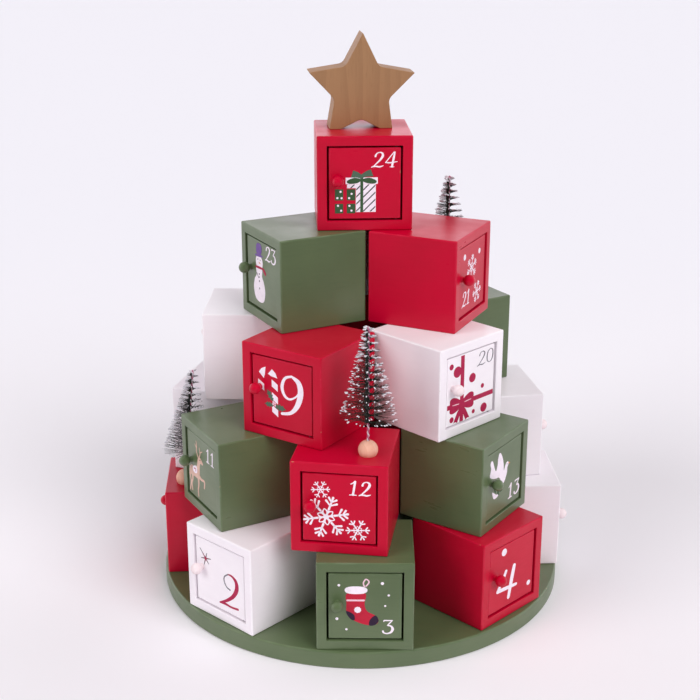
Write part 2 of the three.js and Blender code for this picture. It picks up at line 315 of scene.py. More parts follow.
class Sketch:
    """The points and faces of one mesh in millimetres, with a finish number on each face."""

    def __init__(self) -> None:
        """Starts with nothing drawn."""
        self.points: list[Vector] = []
        self.faces: list[tuple[int, ...]] = []
        self.slots: list[int] = []

    def add(self, points: Iterable[Vector], faces: Iterable[Sequence[int]], slot: int = 0) -> None:
        """Adds points, and faces that count from the first of them.

        Args:
            points: The new points.
            faces: Corners of each face, as places among the new points.
            slot: The number of their finish.
        """
        first = len(self.points)
        self.points.extend(points)
        for face in faces:
            self.faces.append(tuple(first + corner for corner in face))
            self.slots.append(slot)

    def skin(self, rings: Sequence[Sequence[Vector]], slot: int = 0) -> None:
        """Joins rings of points one after another and closes both ends. A ring of one point is a tip.

        Args:
            rings: The rings, each with the same number of points or with one.
            slot: The number of their finish.
        """
        points = [point for ring in rings for point in ring]
        starts = [0]
        for ring in rings:
            starts.append(starts[-1] + len(ring))
        sides = max(len(ring) for ring in rings)
        faces: list[tuple[int, ...]] = []
        for level, (low, high) in enumerate(zip(rings, rings[1:])):
            for i in range(sides):
                a = [starts[level] + (k % sides if len(low) > 1 else 0) for k in (i, i + 1)]
                b = [starts[level + 1] + (k % sides if len(high) > 1 else 0) for k in (i + 1, i)]
                faces.append(tuple(dict.fromkeys([*a, *b])))
        if len(rings[0]) > 1:
            faces.append(tuple(reversed(range(sides))))
        if len(rings[-1]) > 1:
            faces.append(tuple(starts[-2] + i for i in range(sides)))
        self.add(points, faces, slot)

    def lathe(self, profile: Sequence[Point], place: Matrix, sides: int, slot: int = 0) -> None:
        """Turns a profile about the Z axis of a place.

        Args:
            profile: Points as (radius, height), where a radius of 0 is a tip.
            place: Where the axis stands.
            sides: Points round it.
            slot: The number of the finish.
        """
        rings = []
        for radius, height in profile:
            flat = [Vector((radius * cos(a), radius * sin(a), height)) for a in turns_round(radius, sides)]
            rings.append([place @ point for point in flat])
        self.skin(rings, slot)

    def tube(self, path: Sequence[Vector], radii: Sequence[float], sides: int, slot: int = 0) -> None:
        """Sweeps a round section along a path.

        Args:
            path: Points of its middle line.
            radii: Its radius at each point, where 0 is a tip.
            sides: Points round it.
            slot: The number of the finish.
        """
        rings = []
        for i, (point, radius) in enumerate(zip(path, radii)):
            along = (path[min(i + 1, len(path) - 1)] - path[max(i - 1, 0)]).normalized()
            helper = Vector((0, 0, 1)) if abs(along.z) < 0.9 else Vector((1, 0, 0))
            across = along.cross(helper).normalized()
            over = across.cross(along)
            turns = turns_round(radius, sides)
            rings.append([point + radius * (cos(a) * across + sin(a) * over) for a in turns])
        self.skin(rings, slot)

    def slab(self, loops: Sequence[Sequence[Point]], front: float, back: float, slot: int = 0) -> None:
        """Makes a thin solid that faces the front, with holes through it.

        Args:
            loops: Its outline, and then the outlines of its holes, as (right, up).
            front: Where its face is along Y.
            back: Where its back is along Y.
            slot: The number of the finish.
        """
        flat = [point for loop in loops for point in loop]
        count = len(flat)
        triangles = tessellate_polygon([[Vector((x, y, 0)) for x, y in loop] for loop in loops])
        faces = [tuple(t) for t in triangles] + [tuple(count + i for i in reversed(t)) for t in triangles]
        start = 0
        for loop in loops:
            size = len(loop)
            for i in range(size):
                a, b = start + i, start + (i + 1) % size
                faces.append((a, b, count + b, count + a))
            start += size
        points = [Vector((x, depth, y)) for depth in (front, back) for x, y in flat]
        self.add(points, faces, slot)

    def to_mesh(self, name: str, sharp: float | None = SHARP_ANGLE) -> Mesh:
        """Makes a mesh in metres with its faces turned outward.

        Args:
            name: The mesh's name.
            sharp: Edges that turn by more than this stay sharp. None leaves all smooth.

        Returns:
            The mesh.
        """
        mesh = bpy.data.meshes.new(name)
        mesh.from_pydata([point * MM for point in self.points], [], self.faces)
        mesh.polygons.foreach_set("material_index", self.slots)
        shape = bmesh.new()
        shape.from_mesh(mesh)
        bmesh.ops.recalc_face_normals(shape, faces=shape.faces)
        shape.to_mesh(mesh)
        shape.free()
        mesh.shade_smooth()
        if sharp is not None:
            mesh.set_sharp_from_angle(angle=sharp)
        mesh.update()
        return mesh


@dataclass(frozen=True)
class Dressing:
    """What a piece is called, wears, rides on and stands for."""

    name: str
    body: str
    slot: str
    materials: tuple[Material, ...]
    replaces: tuple[str, ...] = ()
    offset: Triple = (0.0, 0.0, 0.0)

    def put_on(self, mesh: Mesh, place: Matrix) -> Object:
        """Makes the piece, sets it in its place and ties it to its body.

        Args:
            mesh: Its mesh, which other pieces may share.
            place: Its place in millimetres.

        Returns:
            The piece.
        """
        piece = bpy.data.objects.new(self.name, mesh)
        bpy.context.scene.collection.objects.link(piece)
        while len(mesh.materials) < len(self.materials):
            mesh.materials.append(None)
        for slot, material in zip(piece.material_slots, self.materials):
            slot.link = "OBJECT"
            slot.material = material
        piece["grain_offset"] = self.offset
        piece.matrix_world = Matrix.Translation(place.translation * MM) @ place.to_3x3().to_4x4()
        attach(piece, self.body)
        if self.replaces:
            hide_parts(*self.replaces)
        LOG.info("%s rides on %s with %d faces", self.name, self.body, len(mesh.polygons))
        return piece


def even_normals(piece: Object) -> None:
    """Keeps a piece's flat faces flat to the light beside its rounded edges."""
    modifier = piece.modifiers.new("even_normals", "WEIGHTED_NORMAL")
    modifier.keep_sharp = True


def round_edges(shape: bmesh.types.BMesh, edges: list[bmesh.types.BMEdge], radius: float) -> None:
    """Rounds edges of a shape to a radius in millimetres."""
    bmesh.ops.bevel(shape, geom=edges, offset=radius * MM, segments=3, profile=0.5, affect="EDGES")


def rounded_block(name: str, width: float, depth: float, height: float, radius: float) -> Mesh:
    """Makes a block centred on the origin with rounded edges.

    Args:
        name: The mesh's name.
        width: Its size along X in millimetres.
        depth: Its size along Y.
        height: Its size along Z.
        radius: The radius of its edges.

    Returns:
        The mesh in metres.
    """
    shape = bmesh.new()
    bmesh.ops.create_cube(shape, size=1.0)
    bmesh.ops.scale(shape, vec=Vector((width, depth, height)) * MM, verts=shape.verts)
    round_edges(shape, shape.edges[:], radius)
    mesh = bpy.data.meshes.new(name)
    shape.to_mesh(mesh)
    shape.free()
    mesh.shade_smooth()
    return mesh


# Shader trees


class NodeSketch:
    """Adds linked nodes to one shader tree."""

    def __init__(self, tree: NodeTree) -> None:
        """Takes the tree to draw in."""
        self.tree = tree

    def add(self, kind: str, feeds: dict[str | int, Any] | None = None, **settings: Any) -> Node:
        """Adds a node.

        Args:
            kind: The node's type.
            feeds: Values of its input sockets, or the output sockets that feed them.
            **settings: Its own settings.

        Returns:
            The node.
        """
        node = self.tree.nodes.new(kind)
        count = len(self.tree.nodes)
        node.location = (220 * (count // 6), -240 * (count % 6))
        for name, value in settings.items():
            setattr(node, name, value)
        for socket, value in (feeds or {}).items():
            self.feed(node.inputs[socket], value)
        return node

    def feed(self, socket: NodeSocket, value: Any) -> None:
        """Links an output to a socket, or sets the socket's own value.

        Args:
            socket: The input.
            value: The output or the value.
        """
        if isinstance(value, NodeSocket):
            self.tree.links.new(value, socket)
        else:
            socket.default_value = value

    def math(self, operation: str, first: Any, second: Any = 0.0) -> NodeSocket:
        """Works out one number from two values or outputs."""
        return self.add("ShaderNodeMath", {0: first, 1: second}, operation=operation).outputs[0]

    def vector(self, operation: str, first: Any, second: Any = (0.0, 0.0, 0.0)) -> NodeSocket:
        """Works out one vector from two vectors or outputs."""
        return self.add("ShaderNodeVectorMath", {0: first, 1: second}, operation=operation).outputs[0]

    def ramp(self, value: Any, low: Any, high: Any, start: float = 0.0,
             end: float = 1.0) -> NodeSocket:
        """Turns a value into one that goes smoothly from start to end between two limits."""
        feeds = {"Value": value, "From Min": low, "From Max": high, "To Min": start, "To Max": end}
        return self.add("ShaderNodeMapRange", feeds, interpolation_type="SMOOTHSTEP").outputs[0]

    def noise(self, vector: Any, scale: Any, detail: float = 2.0,
              distortion: float = 0.0) -> NodeSocket:
        """Gives soft noise round 0.5, whose scale is in waves for each metre."""
        feeds = {"Vector": vector, "Scale": scale, "Detail": detail, "Distortion": distortion}
        return self.add("ShaderNodeTexNoise", feeds).outputs[0]

    def mix(self, share: Any, first: Any, second: Any, blend: str = "MIX") -> NodeSocket:
        """Mixes two colours by the share of the second."""
        settings = {"data_type": "RGBA", "blend_type": blend}
        return self.add("ShaderNodeMix", {0: share, 6: first, 7: second}, **settings).outputs[2]


class EffectGroup(NodeSketch):
    """A shader node group with named inputs and outputs."""

    KINDS = {float: "NodeSocketFloat", 3: "NodeSocketVector", 4: "NodeSocketColor"}

    def __init__(self, name: str, inputs: dict[str, float | tuple[float, ...]], *outputs: str) -> None:
        """Makes the group.

        Args:
            name: The group's name.
            inputs: Each input and its usual value.
            *outputs: The outputs, of which the one named Colour is a colour and the others are values.
        """
        super().__init__(bpy.data.node_groups.new(name, "ShaderNodeTree"))
        for socket, usual in inputs.items():
            kind = self.KINDS[float if isinstance(usual, float) else len(usual)]
            made = self.tree.interface.new_socket(name=socket, in_out="INPUT", socket_type=kind)
            made.default_value = usual
        for socket in outputs:
            kind = self.KINDS[4 if socket == "Colour" else float]
            self.tree.interface.new_socket(name=socket, in_out="OUTPUT", socket_type=kind)
        self.given = self.tree.nodes.new("NodeGroupInput").outputs
        self.result = self.tree.nodes.new("NodeGroupOutput").inputs

    def give(self, **results: Any) -> NodeTree:
        """Feeds the group's outputs.

        Args:
            **results: What each output gives.

        Returns:
            The finished group.
        """
        for socket, value in results.items():
            self.feed(self.result[socket], value)
        return self.tree


@cache
def block_edge_group() -> NodeTree:
    """Gives the group that measures how far a point of a block's surface is from the nearest edge.

    Returns:
        The group.
    """
    group = EffectGroup(
        "block_edge",
        {"Vector": (0.0, 0.0, 0.0), "Half Size": (0.033, 0.033, 0.033)},
        "Distance",
    )
    inset = group.vector("SUBTRACT", group.given["Half Size"],
                         group.vector("ABSOLUTE", group.given["Vector"]))
    parts = group.add("ShaderNodeSeparateXYZ", {0: inset}).outputs
    least = group.math("MINIMUM", group.math("MINIMUM", parts[0], parts[1]), parts[2])
    most = group.math("MAXIMUM", group.math("MAXIMUM", parts[0], parts[1]), parts[2])
    total = group.math("ADD", group.math("ADD", parts[0], parts[1]), parts[2])
    return group.give(Distance=group.math("SUBTRACT", group.math("SUBTRACT", total, least), most))


@cache
def edge_wear_and_highlight_group() -> NodeTree:
    """Gives the group for a lighter band along an edge: paint rubbed thin, and a painted highlight.

    Returns:
        The group.
    """
    group = EffectGroup(
        "edge_wear_and_highlight",
        {"Distance": 1.0, "Vector": (0.0, 0.0, 0.0), "Reach": 0.0016},
        "Rub", "Chip",
    )
    vector, reach = group.given["Vector"], group.given["Reach"]
    patches = group.noise(vector, 55.0, 4.0)
    near = group.ramp(group.given["Distance"], 0.0, reach, 1.0, 0.0)
    wear_and_highlight = group.math("MULTIPLY", near, group.ramp(patches, 0.38, 0.66))
    bites = group.ramp(group.noise(vector, 260.0, 3.0), 0.69, 0.73)
    tight = group.ramp(group.given["Distance"], 0.0, group.math("MULTIPLY", reach, 0.7), 1.0, 0.0)
    return group.give(Rub=wear_and_highlight, Chip=group.math("MULTIPLY", bites, tight))


@cache
def paint_coat_group() -> NodeTree:
    """Gives the group that makes hand rolled paint: uneven tone, gloss, roller texture and small dents.

    Returns:
        The group.
    """
    group = EffectGroup(
        "paint_coat",
        {"Vector": (0.0, 0.0, 0.0), "Paint": (0.5, 0.5, 0.5, 1.0), "Thin Paint": (0.4, 0.4, 0.4, 1.0),
         "Gloss": 0.4},
        "Colour", "Roughness", "Height",
    )
    vector = group.given["Vector"]
    clouds = group.noise(vector, 26.0, 4.0)
    fibre = group.noise(group.vector("MULTIPLY", vector, (60.0, 60.0, 620.0)), 1.0, 3.0)
    peel = group.noise(vector, 780.0, 2.0)
    nibs = group.add("ShaderNodeTexVoronoi", {"Vector": vector, "Scale": 120.0}).outputs
    draw = group.add("ShaderNodeSeparateColor", {0: nibs["Color"]}).outputs[0]
    pick = group.math("GREATER_THAN", draw, 0.93)
    dents = group.math("MULTIPLY", pick, group.ramp(nibs["Distance"], 0.0, 0.32, 1.0, 0.0))
    tone = group.math("ADD", group.ramp(clouds, 0.36, 0.68, 0.0, 0.7),
                      group.ramp(fibre, 0.45, 0.75, 0.0, 0.3))
    colour = group.mix(tone, group.given["Paint"], group.given["Thin Paint"])
    rough = group.math("ADD", group.given["Gloss"], group.ramp(clouds, 0.3, 0.7, -0.05, 0.07))
    texture = group.math("ADD", group.math("MULTIPLY", peel, 0.5), group.math("MULTIPLY", fibre, 0.55))
    rough = group.math("ADD", rough, group.math("MULTIPLY", fibre, 0.06))
    height = group.math("SUBTRACT", texture, group.math("MULTIPLY", dents, 0.9))
    return group.give(Colour=colour, Roughness=rough, Height=height)


@cache
def wood_grain_group() -> NodeTree:
    """Gives the group that makes bare wood with its grain along Z.

    Returns:
        The group.
    """
    group = EffectGroup(
        "wood_grain",
        {"Vector": (0.0, 0.0, 0.0), "Early Wood": (0.5, 0.3, 0.2, 1.0), "Late Wood": (0.3, 0.2, 0.1, 1.0),
         "Rings": 60.0, "Contrast": 0.5},
        "Colour", "Roughness", "Height",
    )
    vector = group.given["Vector"]
    long_way = group.vector("MULTIPLY", vector, (1.0, 1.0, 0.16))
    sway = group.add("ShaderNodeTexNoise",
                     {"Vector": long_way, "Scale": 22.0, "Detail": 2.0}).outputs["Color"]
    bent = group.vector("ADD", long_way, group.vector("MULTIPLY", sway, (0.03, 0.03, 0.03)))
    rings = group.add(
        "ShaderNodeTexWave",
        {"Vector": bent, "Scale": group.given["Rings"], "Distortion": 2.2, "Detail": 2.0,
         "Detail Scale": 1.4},
        wave_type="RINGS", rings_direction="Z", wave_profile="SAW",
    ).outputs["Fac"]
    streaks = group.noise(group.vector("MULTIPLY", vector, (700.0, 700.0, 26.0)), 1.0, 3.0)
    pores = group.noise(group.vector("MULTIPLY", vector, (1500.0, 1500.0, 90.0)), 1.0, 1.0)
    pore = group.ramp(pores, 0.62, 0.72)
    mixed = group.math("ADD", group.math("MULTIPLY", rings, 0.55), group.math("MULTIPLY", streaks, 0.6))
    share = group.math("MULTIPLY", group.ramp(mixed, 0.2, 0.95), group.given["Contrast"])
    body = group.mix(share, group.given["Early Wood"], group.given["Late Wood"])
    colour = group.mix(group.math("MULTIPLY", pore, 0.35), body, group.given["Late Wood"])
    height = group.math("SUBTRACT", group.math("MULTIPLY", streaks, 0.6), group.math("MULTIPLY", pore, 0.6))
    return group.give(Colour=colour, Roughness=group.ramp(mixed, 0.2, 1.0, 0.62, 0.5), Height=height)


@cache
def speckle_group() -> NodeTree:
    """Gives the group that scatters small round marks over a surface.

    Returns:
        The group.
    """
    group = EffectGroup("speckle", {"Vector": (0.0, 0.0, 0.0), "Scale": 400.0, "Share": 0.3}, "Mark")
    feeds = {socket: group.given[socket] for socket in ("Vector", "Scale")}
    cells = group.add("ShaderNodeTexVoronoi", feeds).outputs
    draw = group.add("ShaderNodeSeparateColor", {0: cells["Color"]}).outputs[0]
    pick = group.math("LESS_THAN", draw, group.given["Share"])
    return group.give(Mark=group.math("MULTIPLY", pick, group.ramp(cells["Distance"], 0.1, 0.45, 1.0, 0.0)))


class MaterialSketch(NodeSketch):
    """One material with a Principled shader, and the coordinates of its piece."""

    def __init__(self, name: str) -> None:
        """Makes the material and the nodes that every finish uses.

        Args:
            name: The material's name.
        """
        self.material = bpy.data.materials.new(name)
        self.material.use_nodes = True
        super().__init__(self.material.node_tree)
        self.tree.nodes.clear()
        self.shader = self.add("ShaderNodeBsdfPrincipled")
        self.add("ShaderNodeOutputMaterial", {"Surface": self.shader.outputs[0]})
        self.own_place = self.add("ShaderNodeTexCoord").outputs["Object"]
        own = self.add("ShaderNodeAttribute", attribute_type="OBJECT", attribute_name="grain_offset")
        self.grain_place = self.vector("ADD", self.own_place, own.outputs["Vector"])

    def effect(self, group: NodeTree, feeds: dict[str, Any]) -> Any:
        """Places a shared group and gives its outputs."""
        return self.add("ShaderNodeGroup", feeds, node_tree=group).outputs

    def dress(self, colour: Any, rough: Any, relief: tuple[Any, float, float], shine: float = 0.5,
              metallic: float = 0.0) -> Material:
        """Feeds the shader and bumps the surface.

        Args:
            colour: The colour or its output.
            rough: The output with the roughness.
            relief: The output with the heights, the millimetres of a height of 1, and how far light follows.
            shine: The strength of the reflection.
            metallic: How far it is metal.

        Returns:
            The material.
        """
        height, depth, strength = relief
        bump = self.add("ShaderNodeBump", {"Height": height, "Distance": depth * MM, "Strength": strength})
        feeds = {"Base Color": colour, "Roughness": rough, "Specular IOR Level": shine, "Metallic": metallic}
        for name, value in (feeds | {"Normal": bump.outputs[0]}).items():
            self.feed(self.shader.inputs[name], value)
        return self.material


# Finishes


@dataclass(frozen=True)
class PaintFinish:
    """Eggshell paint on board, chipped along its edges, lighter there from rubbing and a painted highlight."""

    name: str
    paint: Colour
    thin: Colour
    rub_and_highlight_colour: Colour
    shine: float = 0.3
    gloss: float = 0.3
    board: Colour = srgb(186, 150, 118)

    def material(self, edge: Edge, half: Triple = (1.0, 1.0, 1.0)) -> Material:
        """Mixes the paint for one kind of piece.

        Args:
            edge: How the piece's edges run.
            half: Half the piece's sizes in millimetres. A disc uses the first, its radius.

        Returns:
            The material.
        """
        sketch = MaterialSketch(f"{self.name}_{edge.value}_{half[1]:g}")
        coat = sketch.effect(paint_coat_group(), {
            "Vector": sketch.grain_place, "Paint": self.paint, "Thin Paint": self.thin, "Gloss": self.gloss,
        })
        colour, height = coat["Colour"], coat["Height"]
        if edge is not Edge.NONE:
            wear_and_highlight = sketch.effect(edge_wear_and_highlight_group(), {
                "Distance": self.edge_distance(sketch, edge, half), "Vector": sketch.grain_place,
            })
            # The lighter edge colour is partly rubbed paint and partly a painted highlight on the rounded
            # edges.
            colour = sketch.mix(sketch.math("MULTIPLY", wear_and_highlight["Rub"], 0.35), colour, self.rub_and_highlight_colour)
            colour = sketch.mix(sketch.math("MULTIPLY", wear_and_highlight["Chip"], 0.7), colour, self.board)
            height = sketch.math("SUBTRACT", height, wear_and_highlight["Chip"])
        return sketch.dress(colour, coat["Roughness"], (height, 0.09, 0.5), self.shine)

    def edge_distance(self, sketch: MaterialSketch, edge: Edge, half: Triple) -> Any:
        """Measures how far the surface is from the piece's nearest edge.

        Args:
            sketch: The material that is being made.
            edge: How the piece's edges run.
            half: Half the piece's sizes in millimetres.

        Returns:
            The output with the distance in metres.
        """
        place = sketch.own_place
        if edge is Edge.DISC:
            flat = sketch.vector("MULTIPLY", place, (1.0, 1.0, 0.0))
            out = sketch.add("ShaderNodeVectorMath", {0: flat}, operation="LENGTH").outputs["Value"]
            up = sketch.add("ShaderNodeSeparateXYZ", {0: place}).outputs["Z"]
            place = sketch.add("ShaderNodeCombineXYZ", {"X": out, "Z": up}).outputs[0]
        sizes = tuple(size * MM for size in half)
        return sketch.effect(block_edge_group(), {"Vector": place, "Half Size": sizes})["Distance"]


@dataclass(frozen=True)
class WoodFinish:
    """Bare or stained wood with its grain along Z."""

    name: str
    early: Colour
    late: Colour
    rings: float
    contrast: float
    gloss: float = 0.3

    def material(self) -> Material:
        """Makes the wood.

        Returns:
            The material.
        """
        sketch = MaterialSketch(self.name)
        grain = sketch.effect(wood_grain_group(), {
            "Vector": sketch.grain_place, "Early Wood": self.early, "Late Wood": self.late,
            "Rings": self.rings, "Contrast": self.contrast,
        })
        return sketch.dress(grain["Colour"], grain["Roughness"], (grain["Height"], 0.12, 0.6), self.gloss)


@dataclass(frozen=True)
class MetalFinish:
    """Drawn metal with fine marks along it."""

    name: str
    bright: Colour
    dull: Colour
    roughness: float
    metallic: float = 1.0

    def material(self) -> Material:
        """Makes the metal.

        Returns:
            The material.
        """
        sketch = MaterialSketch(self.name)
        marks = sketch.noise(sketch.vector("MULTIPLY", sketch.grain_place, (1800.0, 1800.0, 240.0)), 1.0, 3.0)
        rough = sketch.math("ADD", self.roughness, sketch.ramp(marks, 0.3, 0.7, -0.06, 0.12))
        colour = sketch.mix(marks, self.bright, self.dull)
        return sketch.dress(colour, rough, (marks, 0.03, 0.5), metallic=self.metallic)


@dataclass(frozen=True)
class BristleFinish:
    """Dull plastic fibre, darker and lighter from strand to strand."""

    name: str
    dark: Colour
    light: Colour
    dust: Colour = srgb(214, 212, 220)
    shine: float = 0.3

    def material(self) -> Material:
        """Makes the fibre.

        Returns:
            The material.
        """
        sketch = MaterialSketch(self.name)
        strand = sketch.noise(sketch.grain_place, 520.0, 2.0)
        dust = sketch.effect(speckle_group(),
                             {"Vector": sketch.grain_place, "Scale": 900.0, "Share": 0.25})["Mark"]
        body = sketch.mix(sketch.ramp(strand, 0.35, 0.7), self.dark, self.light)
        colour = sketch.mix(sketch.math("MULTIPLY", dust, 0.5), body, self.dust)
        return sketch.dress(colour, sketch.ramp(strand, 0.3, 0.7, 0.5, 0.75), (strand, 0.05, 0.4), self.shine)


@dataclass(frozen=True)
class SnowFinish:
    """Lumpy white flock."""

    name: str
    lit: Colour
    shaded: Colour
    shine: float = 0.2

    def material(self) -> Material:
        """Makes the flock.

        Returns:
            The material.
        """
        sketch = MaterialSketch(self.name)
        lumps = sketch.noise(sketch.grain_place, 1900.0, 4.0)
        colour = sketch.mix(sketch.ramp(lumps, 0.35, 0.65, 1.0, 0.0), self.lit, self.shaded)
        return sketch.dress(colour, sketch.ramp(lumps, 0.3, 0.7, 0.95, 0.8), (lumps, 0.25, 0.8), self.shine)


@dataclass(frozen=True)
class InkFinish:
    """Screen printed ink, a little uneven and pierced by pinholes that show the paint's shade."""

    name: str
    colour: Colour
    shine: float = 0.22

    def material(self) -> Material:
        """Makes the ink.

        Returns:
            The material.
        """
        sketch = MaterialSketch(self.name)
        cover = sketch.noise(sketch.grain_place, 240.0, 4.0)
        holes = sketch.effect(speckle_group(),
                              {"Vector": sketch.grain_place, "Scale": 1100.0, "Share": 0.12})["Mark"]
        thin = tuple(0.8 * value for value in self.colour[:3])
        body = sketch.mix(sketch.ramp(cover, 0.45, 0.8, 0.0, 0.5), self.colour, (*thin, 1.0))
        colour = sketch.mix(sketch.math("MULTIPLY", holes, 0.25), body, (*(0.5 * v for v in thin), 1.0))
        rough = sketch.ramp(cover, 0.3, 0.7, 0.42, 0.56)
        return sketch.dress(colour, rough, (sketch.math("SUBTRACT", cover, holes), 0.03, 0.5), self.shine)


@dataclass(frozen=True)
class FloorFinish:
    """Pale paper sweep with a faint tooth, painted shade at the back and black for reflections in front."""

    name: str
    paper: Colour
    shade: Colour
    shine: float = 0.1

    def material(self) -> Material:
        """Makes the paper.

        Returns:
            The material.
        """
        sketch = MaterialSketch(self.name)
        along = sketch.add("ShaderNodeSeparateXYZ", {0: sketch.own_place}).outputs["Y"]
        tooth = sketch.noise(sketch.own_place, 900.0, 2.0)
        # Painted shade: the paper darkens toward the back.
        sweep = sketch.mix(sketch.ramp(along, -0.1, 1.2), self.paper, self.shade)
        # Painted dark reflection: glossy rays see the floor in front of the calendar as black.
        mirrored = sketch.add("ShaderNodeLightPath").outputs["Is Glossy Ray"]
        front = sketch.math("MULTIPLY", mirrored, sketch.ramp(along, -0.34, -0.14, 1.0, 0.0))
        colour = sketch.mix(front, sweep, (0.0, 0.0, 0.0, 1.0))
        return sketch.dress(colour, sketch.ramp(tooth, 0.3, 0.7, 0.85, 0.95), (tooth, 0.05, 0.2), self.shine)


# Each paint's third colour is its lighter edge colour: partly rubbed paint, partly a painted highlight.
PAINTS = {
    Paint.RED: PaintFinish("red_paint", srgb(198, 4, 48), srgb(189, 2, 43), srgb(214, 60, 88)),
    Paint.WHITE: PaintFinish("white_paint", srgb(250, 243, 249), srgb(246, 238, 245), srgb(252, 247, 251)),
    Paint.GREEN: PaintFinish("green_paint", srgb(94, 110, 76), srgb(86, 103, 70), srgb(134, 148, 122), 0.7),
}
STAR_WOOD = WoodFinish("star_wood", srgb(165, 124, 88), srgb(140, 102, 70), 45.0, 0.35, 0.5)
BALL_WOOD = WoodFinish("ball_wood", srgb(240, 186, 164), srgb(222, 160, 134), 90.0, 0.5)
KNOB_WOOD = WoodFinish("knob_wood", srgb(247, 232, 236), srgb(236, 214, 216), 90.0, 0.5)
LIGHT_WIRE = MetalFinish("light_wire", srgb(250, 236, 242), srgb(226, 208, 218), 0.35, 0.3)
# The pink strand's colour is a painted reflection of the red boxes in silver wire.
PINK_REFLECTION_WIRE = MetalFinish("pink_reflection_wire", srgb(214, 120, 156), srgb(188, 90, 128), 0.35, 0.3)
PIN_STEEL = MetalFinish("pin_steel", srgb(186, 182, 184), srgb(140, 136, 138), 0.35)
BRISTLE = BristleFinish("bristle", srgb(30, 34, 32), srgb(58, 62, 54))
SNOW = SnowFinish("snow_flock", srgb(250, 247, 252), srgb(222, 219, 230))
FLOOR = FloorFinish("floor_paper", srgb(251, 246, 252), srgb(248, 245, 253))


# Prints


@dataclass(frozen=True)
class Shape:
    """One inked area: its outline, the holes in it, and how many inks lie under it."""

    ink: Ink
    outline: Sequence[Point]
    holes: tuple[Sequence[Point], ...] = ()
    layer: int = 0


class Motif(Protocol):
    """Anything that can be printed on a door, drawn in millimetres from the door's middle."""

    def shapes(self) -> list[Shape]:
        """Draws it."""


@dataclass(frozen=True)
class Strokes:
    """Pen strokes of one ink, each laid over the last."""

    ink: Ink
    pens: tuple[tuple[Pen, ...], ...]

    def shapes(self) -> list[Shape]:
        """Draws each stroke."""
        return [Shape(self.ink, pen_outline(pen), layer=i) for i, pen in enumerate(self.pens)]


@dataclass(frozen=True)
class Dots:
    """Round dots given as (right, up, radius)."""

    ink: Ink
    spots: tuple[Pen, ...]
    layer: int = 0

    def shapes(self) -> list[Shape]:
        """Draws each dot."""
        return [Shape(self.ink, oval(x, y, r, r), layer=self.layer) for x, y, r in self.spots]


@dataclass(frozen=True)
class Emblem:
    """A motif drawn in units of its own size about a point of the door."""

    x: float
    y: float
    size: float

    def put(self, outline: Iterable[Point], turn: float = 0.0) -> list[Point]:
        """Scales an outline to the size, turns it by degrees and moves it to the motif's place."""
        return placed(outline, self.x, self.y, self.size, turn)

    def stroke(self, pens: Sequence[Pen], turn: float = 0.0) -> list[Point]:
        """Draws a pen stroke, scaled, turned and moved in the same way."""
        line = self.put([(u, v) for u, v, _ in pens], turn)
        return pen_outline([(*at, width * self.size) for at, (_, _, width) in zip(line, pens)])


@dataclass(frozen=True)
class Snowflake(Emblem):
    """A flake of six arms with a pierced hub, sized by its radius."""

    turn: float = 15.0
    style: Flake = Flake.FERN
    ink: Ink = Ink.WHITE

    def shapes(self) -> list[Shape]:
        """Draws the hub with a hole between each two arms, and the arms over it."""
        almond = soften([(0.08, 0.0), (0.22, -0.075), (0.37, 0.0), (0.22, 0.075)], 2)
        rim: list[Point] = []
        holes, made = [], []
        for arm in range(6):
            angle = 60 * arm + self.turn
            rim += self.put([(0.3, -0.05), (0.3, 0.05)], angle) + self.put([(0.42, 0.0)], angle + 30)
            holes.append(self.put(almond, angle + 30))
            for layer, pens in enumerate(self.style.value):
                for side in (1, -1) if layer else (1,):
                    stroke = self.stroke([(u, side * v, width) for u, v, width in pens], angle)
                    made.append(Shape(self.ink, stroke, layer=1 + layer))
        return [Shape(self.ink, soften(rim, 1), tuple(holes)), *made]


@dataclass(frozen=True)
class Spark(Emblem):
    """A small burst of tapering rays, sized by their length."""

    heart: Ink = Ink.CRIMSON
    rays: Ink = Ink.GREY
    count: int = 6
    turn: float = 12.0
    long: float = 1.0

    def shapes(self) -> list[Shape]:
        """Draws the rays and their heart."""
        outline: list[Point] = []
        for i in range(self.count):
            angle = 360 * i / self.count
            reach = self.long if i == self.count // 3 else 1.0 if i % 2 == 0 else 0.84
            outline += placed([(reach, -0.04), (reach, 0.04)], 0, 0, 1, angle)
            outline += placed([(0.2, 0)], 0, 0, 1, angle + 180 / self.count)
        core = placed(outline, self.x, self.y, 0.55 * self.size, self.turn)
        return [Shape(self.rays, self.put(outline, self.turn)), Shape(self.heart, core, layer=1)]


@dataclass(frozen=True)
class Leaf(Emblem):
    """A pointed leaf from its stalk to its tip, with a row of spikes or a plain edge, sized by its length."""

    turn: float
    ink: Ink = Ink.GREEN
    spiked: bool = True
    layer: int = 0
    width: float = 1.0

    def shapes(self) -> list[Shape]:
        """Draws the leaf."""
        spiked = [(0.0, 0.02), (0.14, 0.2), (0.26, 0.12), (0.4, 0.3), (0.52, 0.15), (0.68, 0.26), (0.78, 0.1),
                  (1, 0)]
        plain = [(0.0, 0.03), (0.2, 0.16), (0.5, 0.22), (0.8, 0.12), (1, 0)]
        side = [(u, self.width * v) for u, v in (spiked if self.spiked else plain)]
        around = side + [(u, -v) for u, v in reversed(side[:-1])]
        rim = around if self.spiked else soften(around)
        return [Shape(self.ink, self.put(rim, self.turn), layer=self.layer)]


@dataclass(frozen=True)
class Holly(Emblem):
    """Three holly leaves and their berries, sized by the length of a leaf."""

    turn: float = 0.0
    berries: Ink = Ink.PINK

    def shapes(self) -> list[Shape]:
        """Draws the leaves under the berries."""
        made = []
        for i, angle in enumerate((20, 118, 205)):
            (x, y), = self.put([(0.12, 0)], angle + self.turn)
            made += Leaf(x, y, self.size, angle + self.turn, layer=i).shapes()
        for angle in (70, 170, 290):
            (x, y), = self.put([(0.16, 0)], angle)
            made.append(Shape(self.berries, oval(x, y, 0.13 * self.size, 0.13 * self.size, 0, 16), layer=3))
        return made


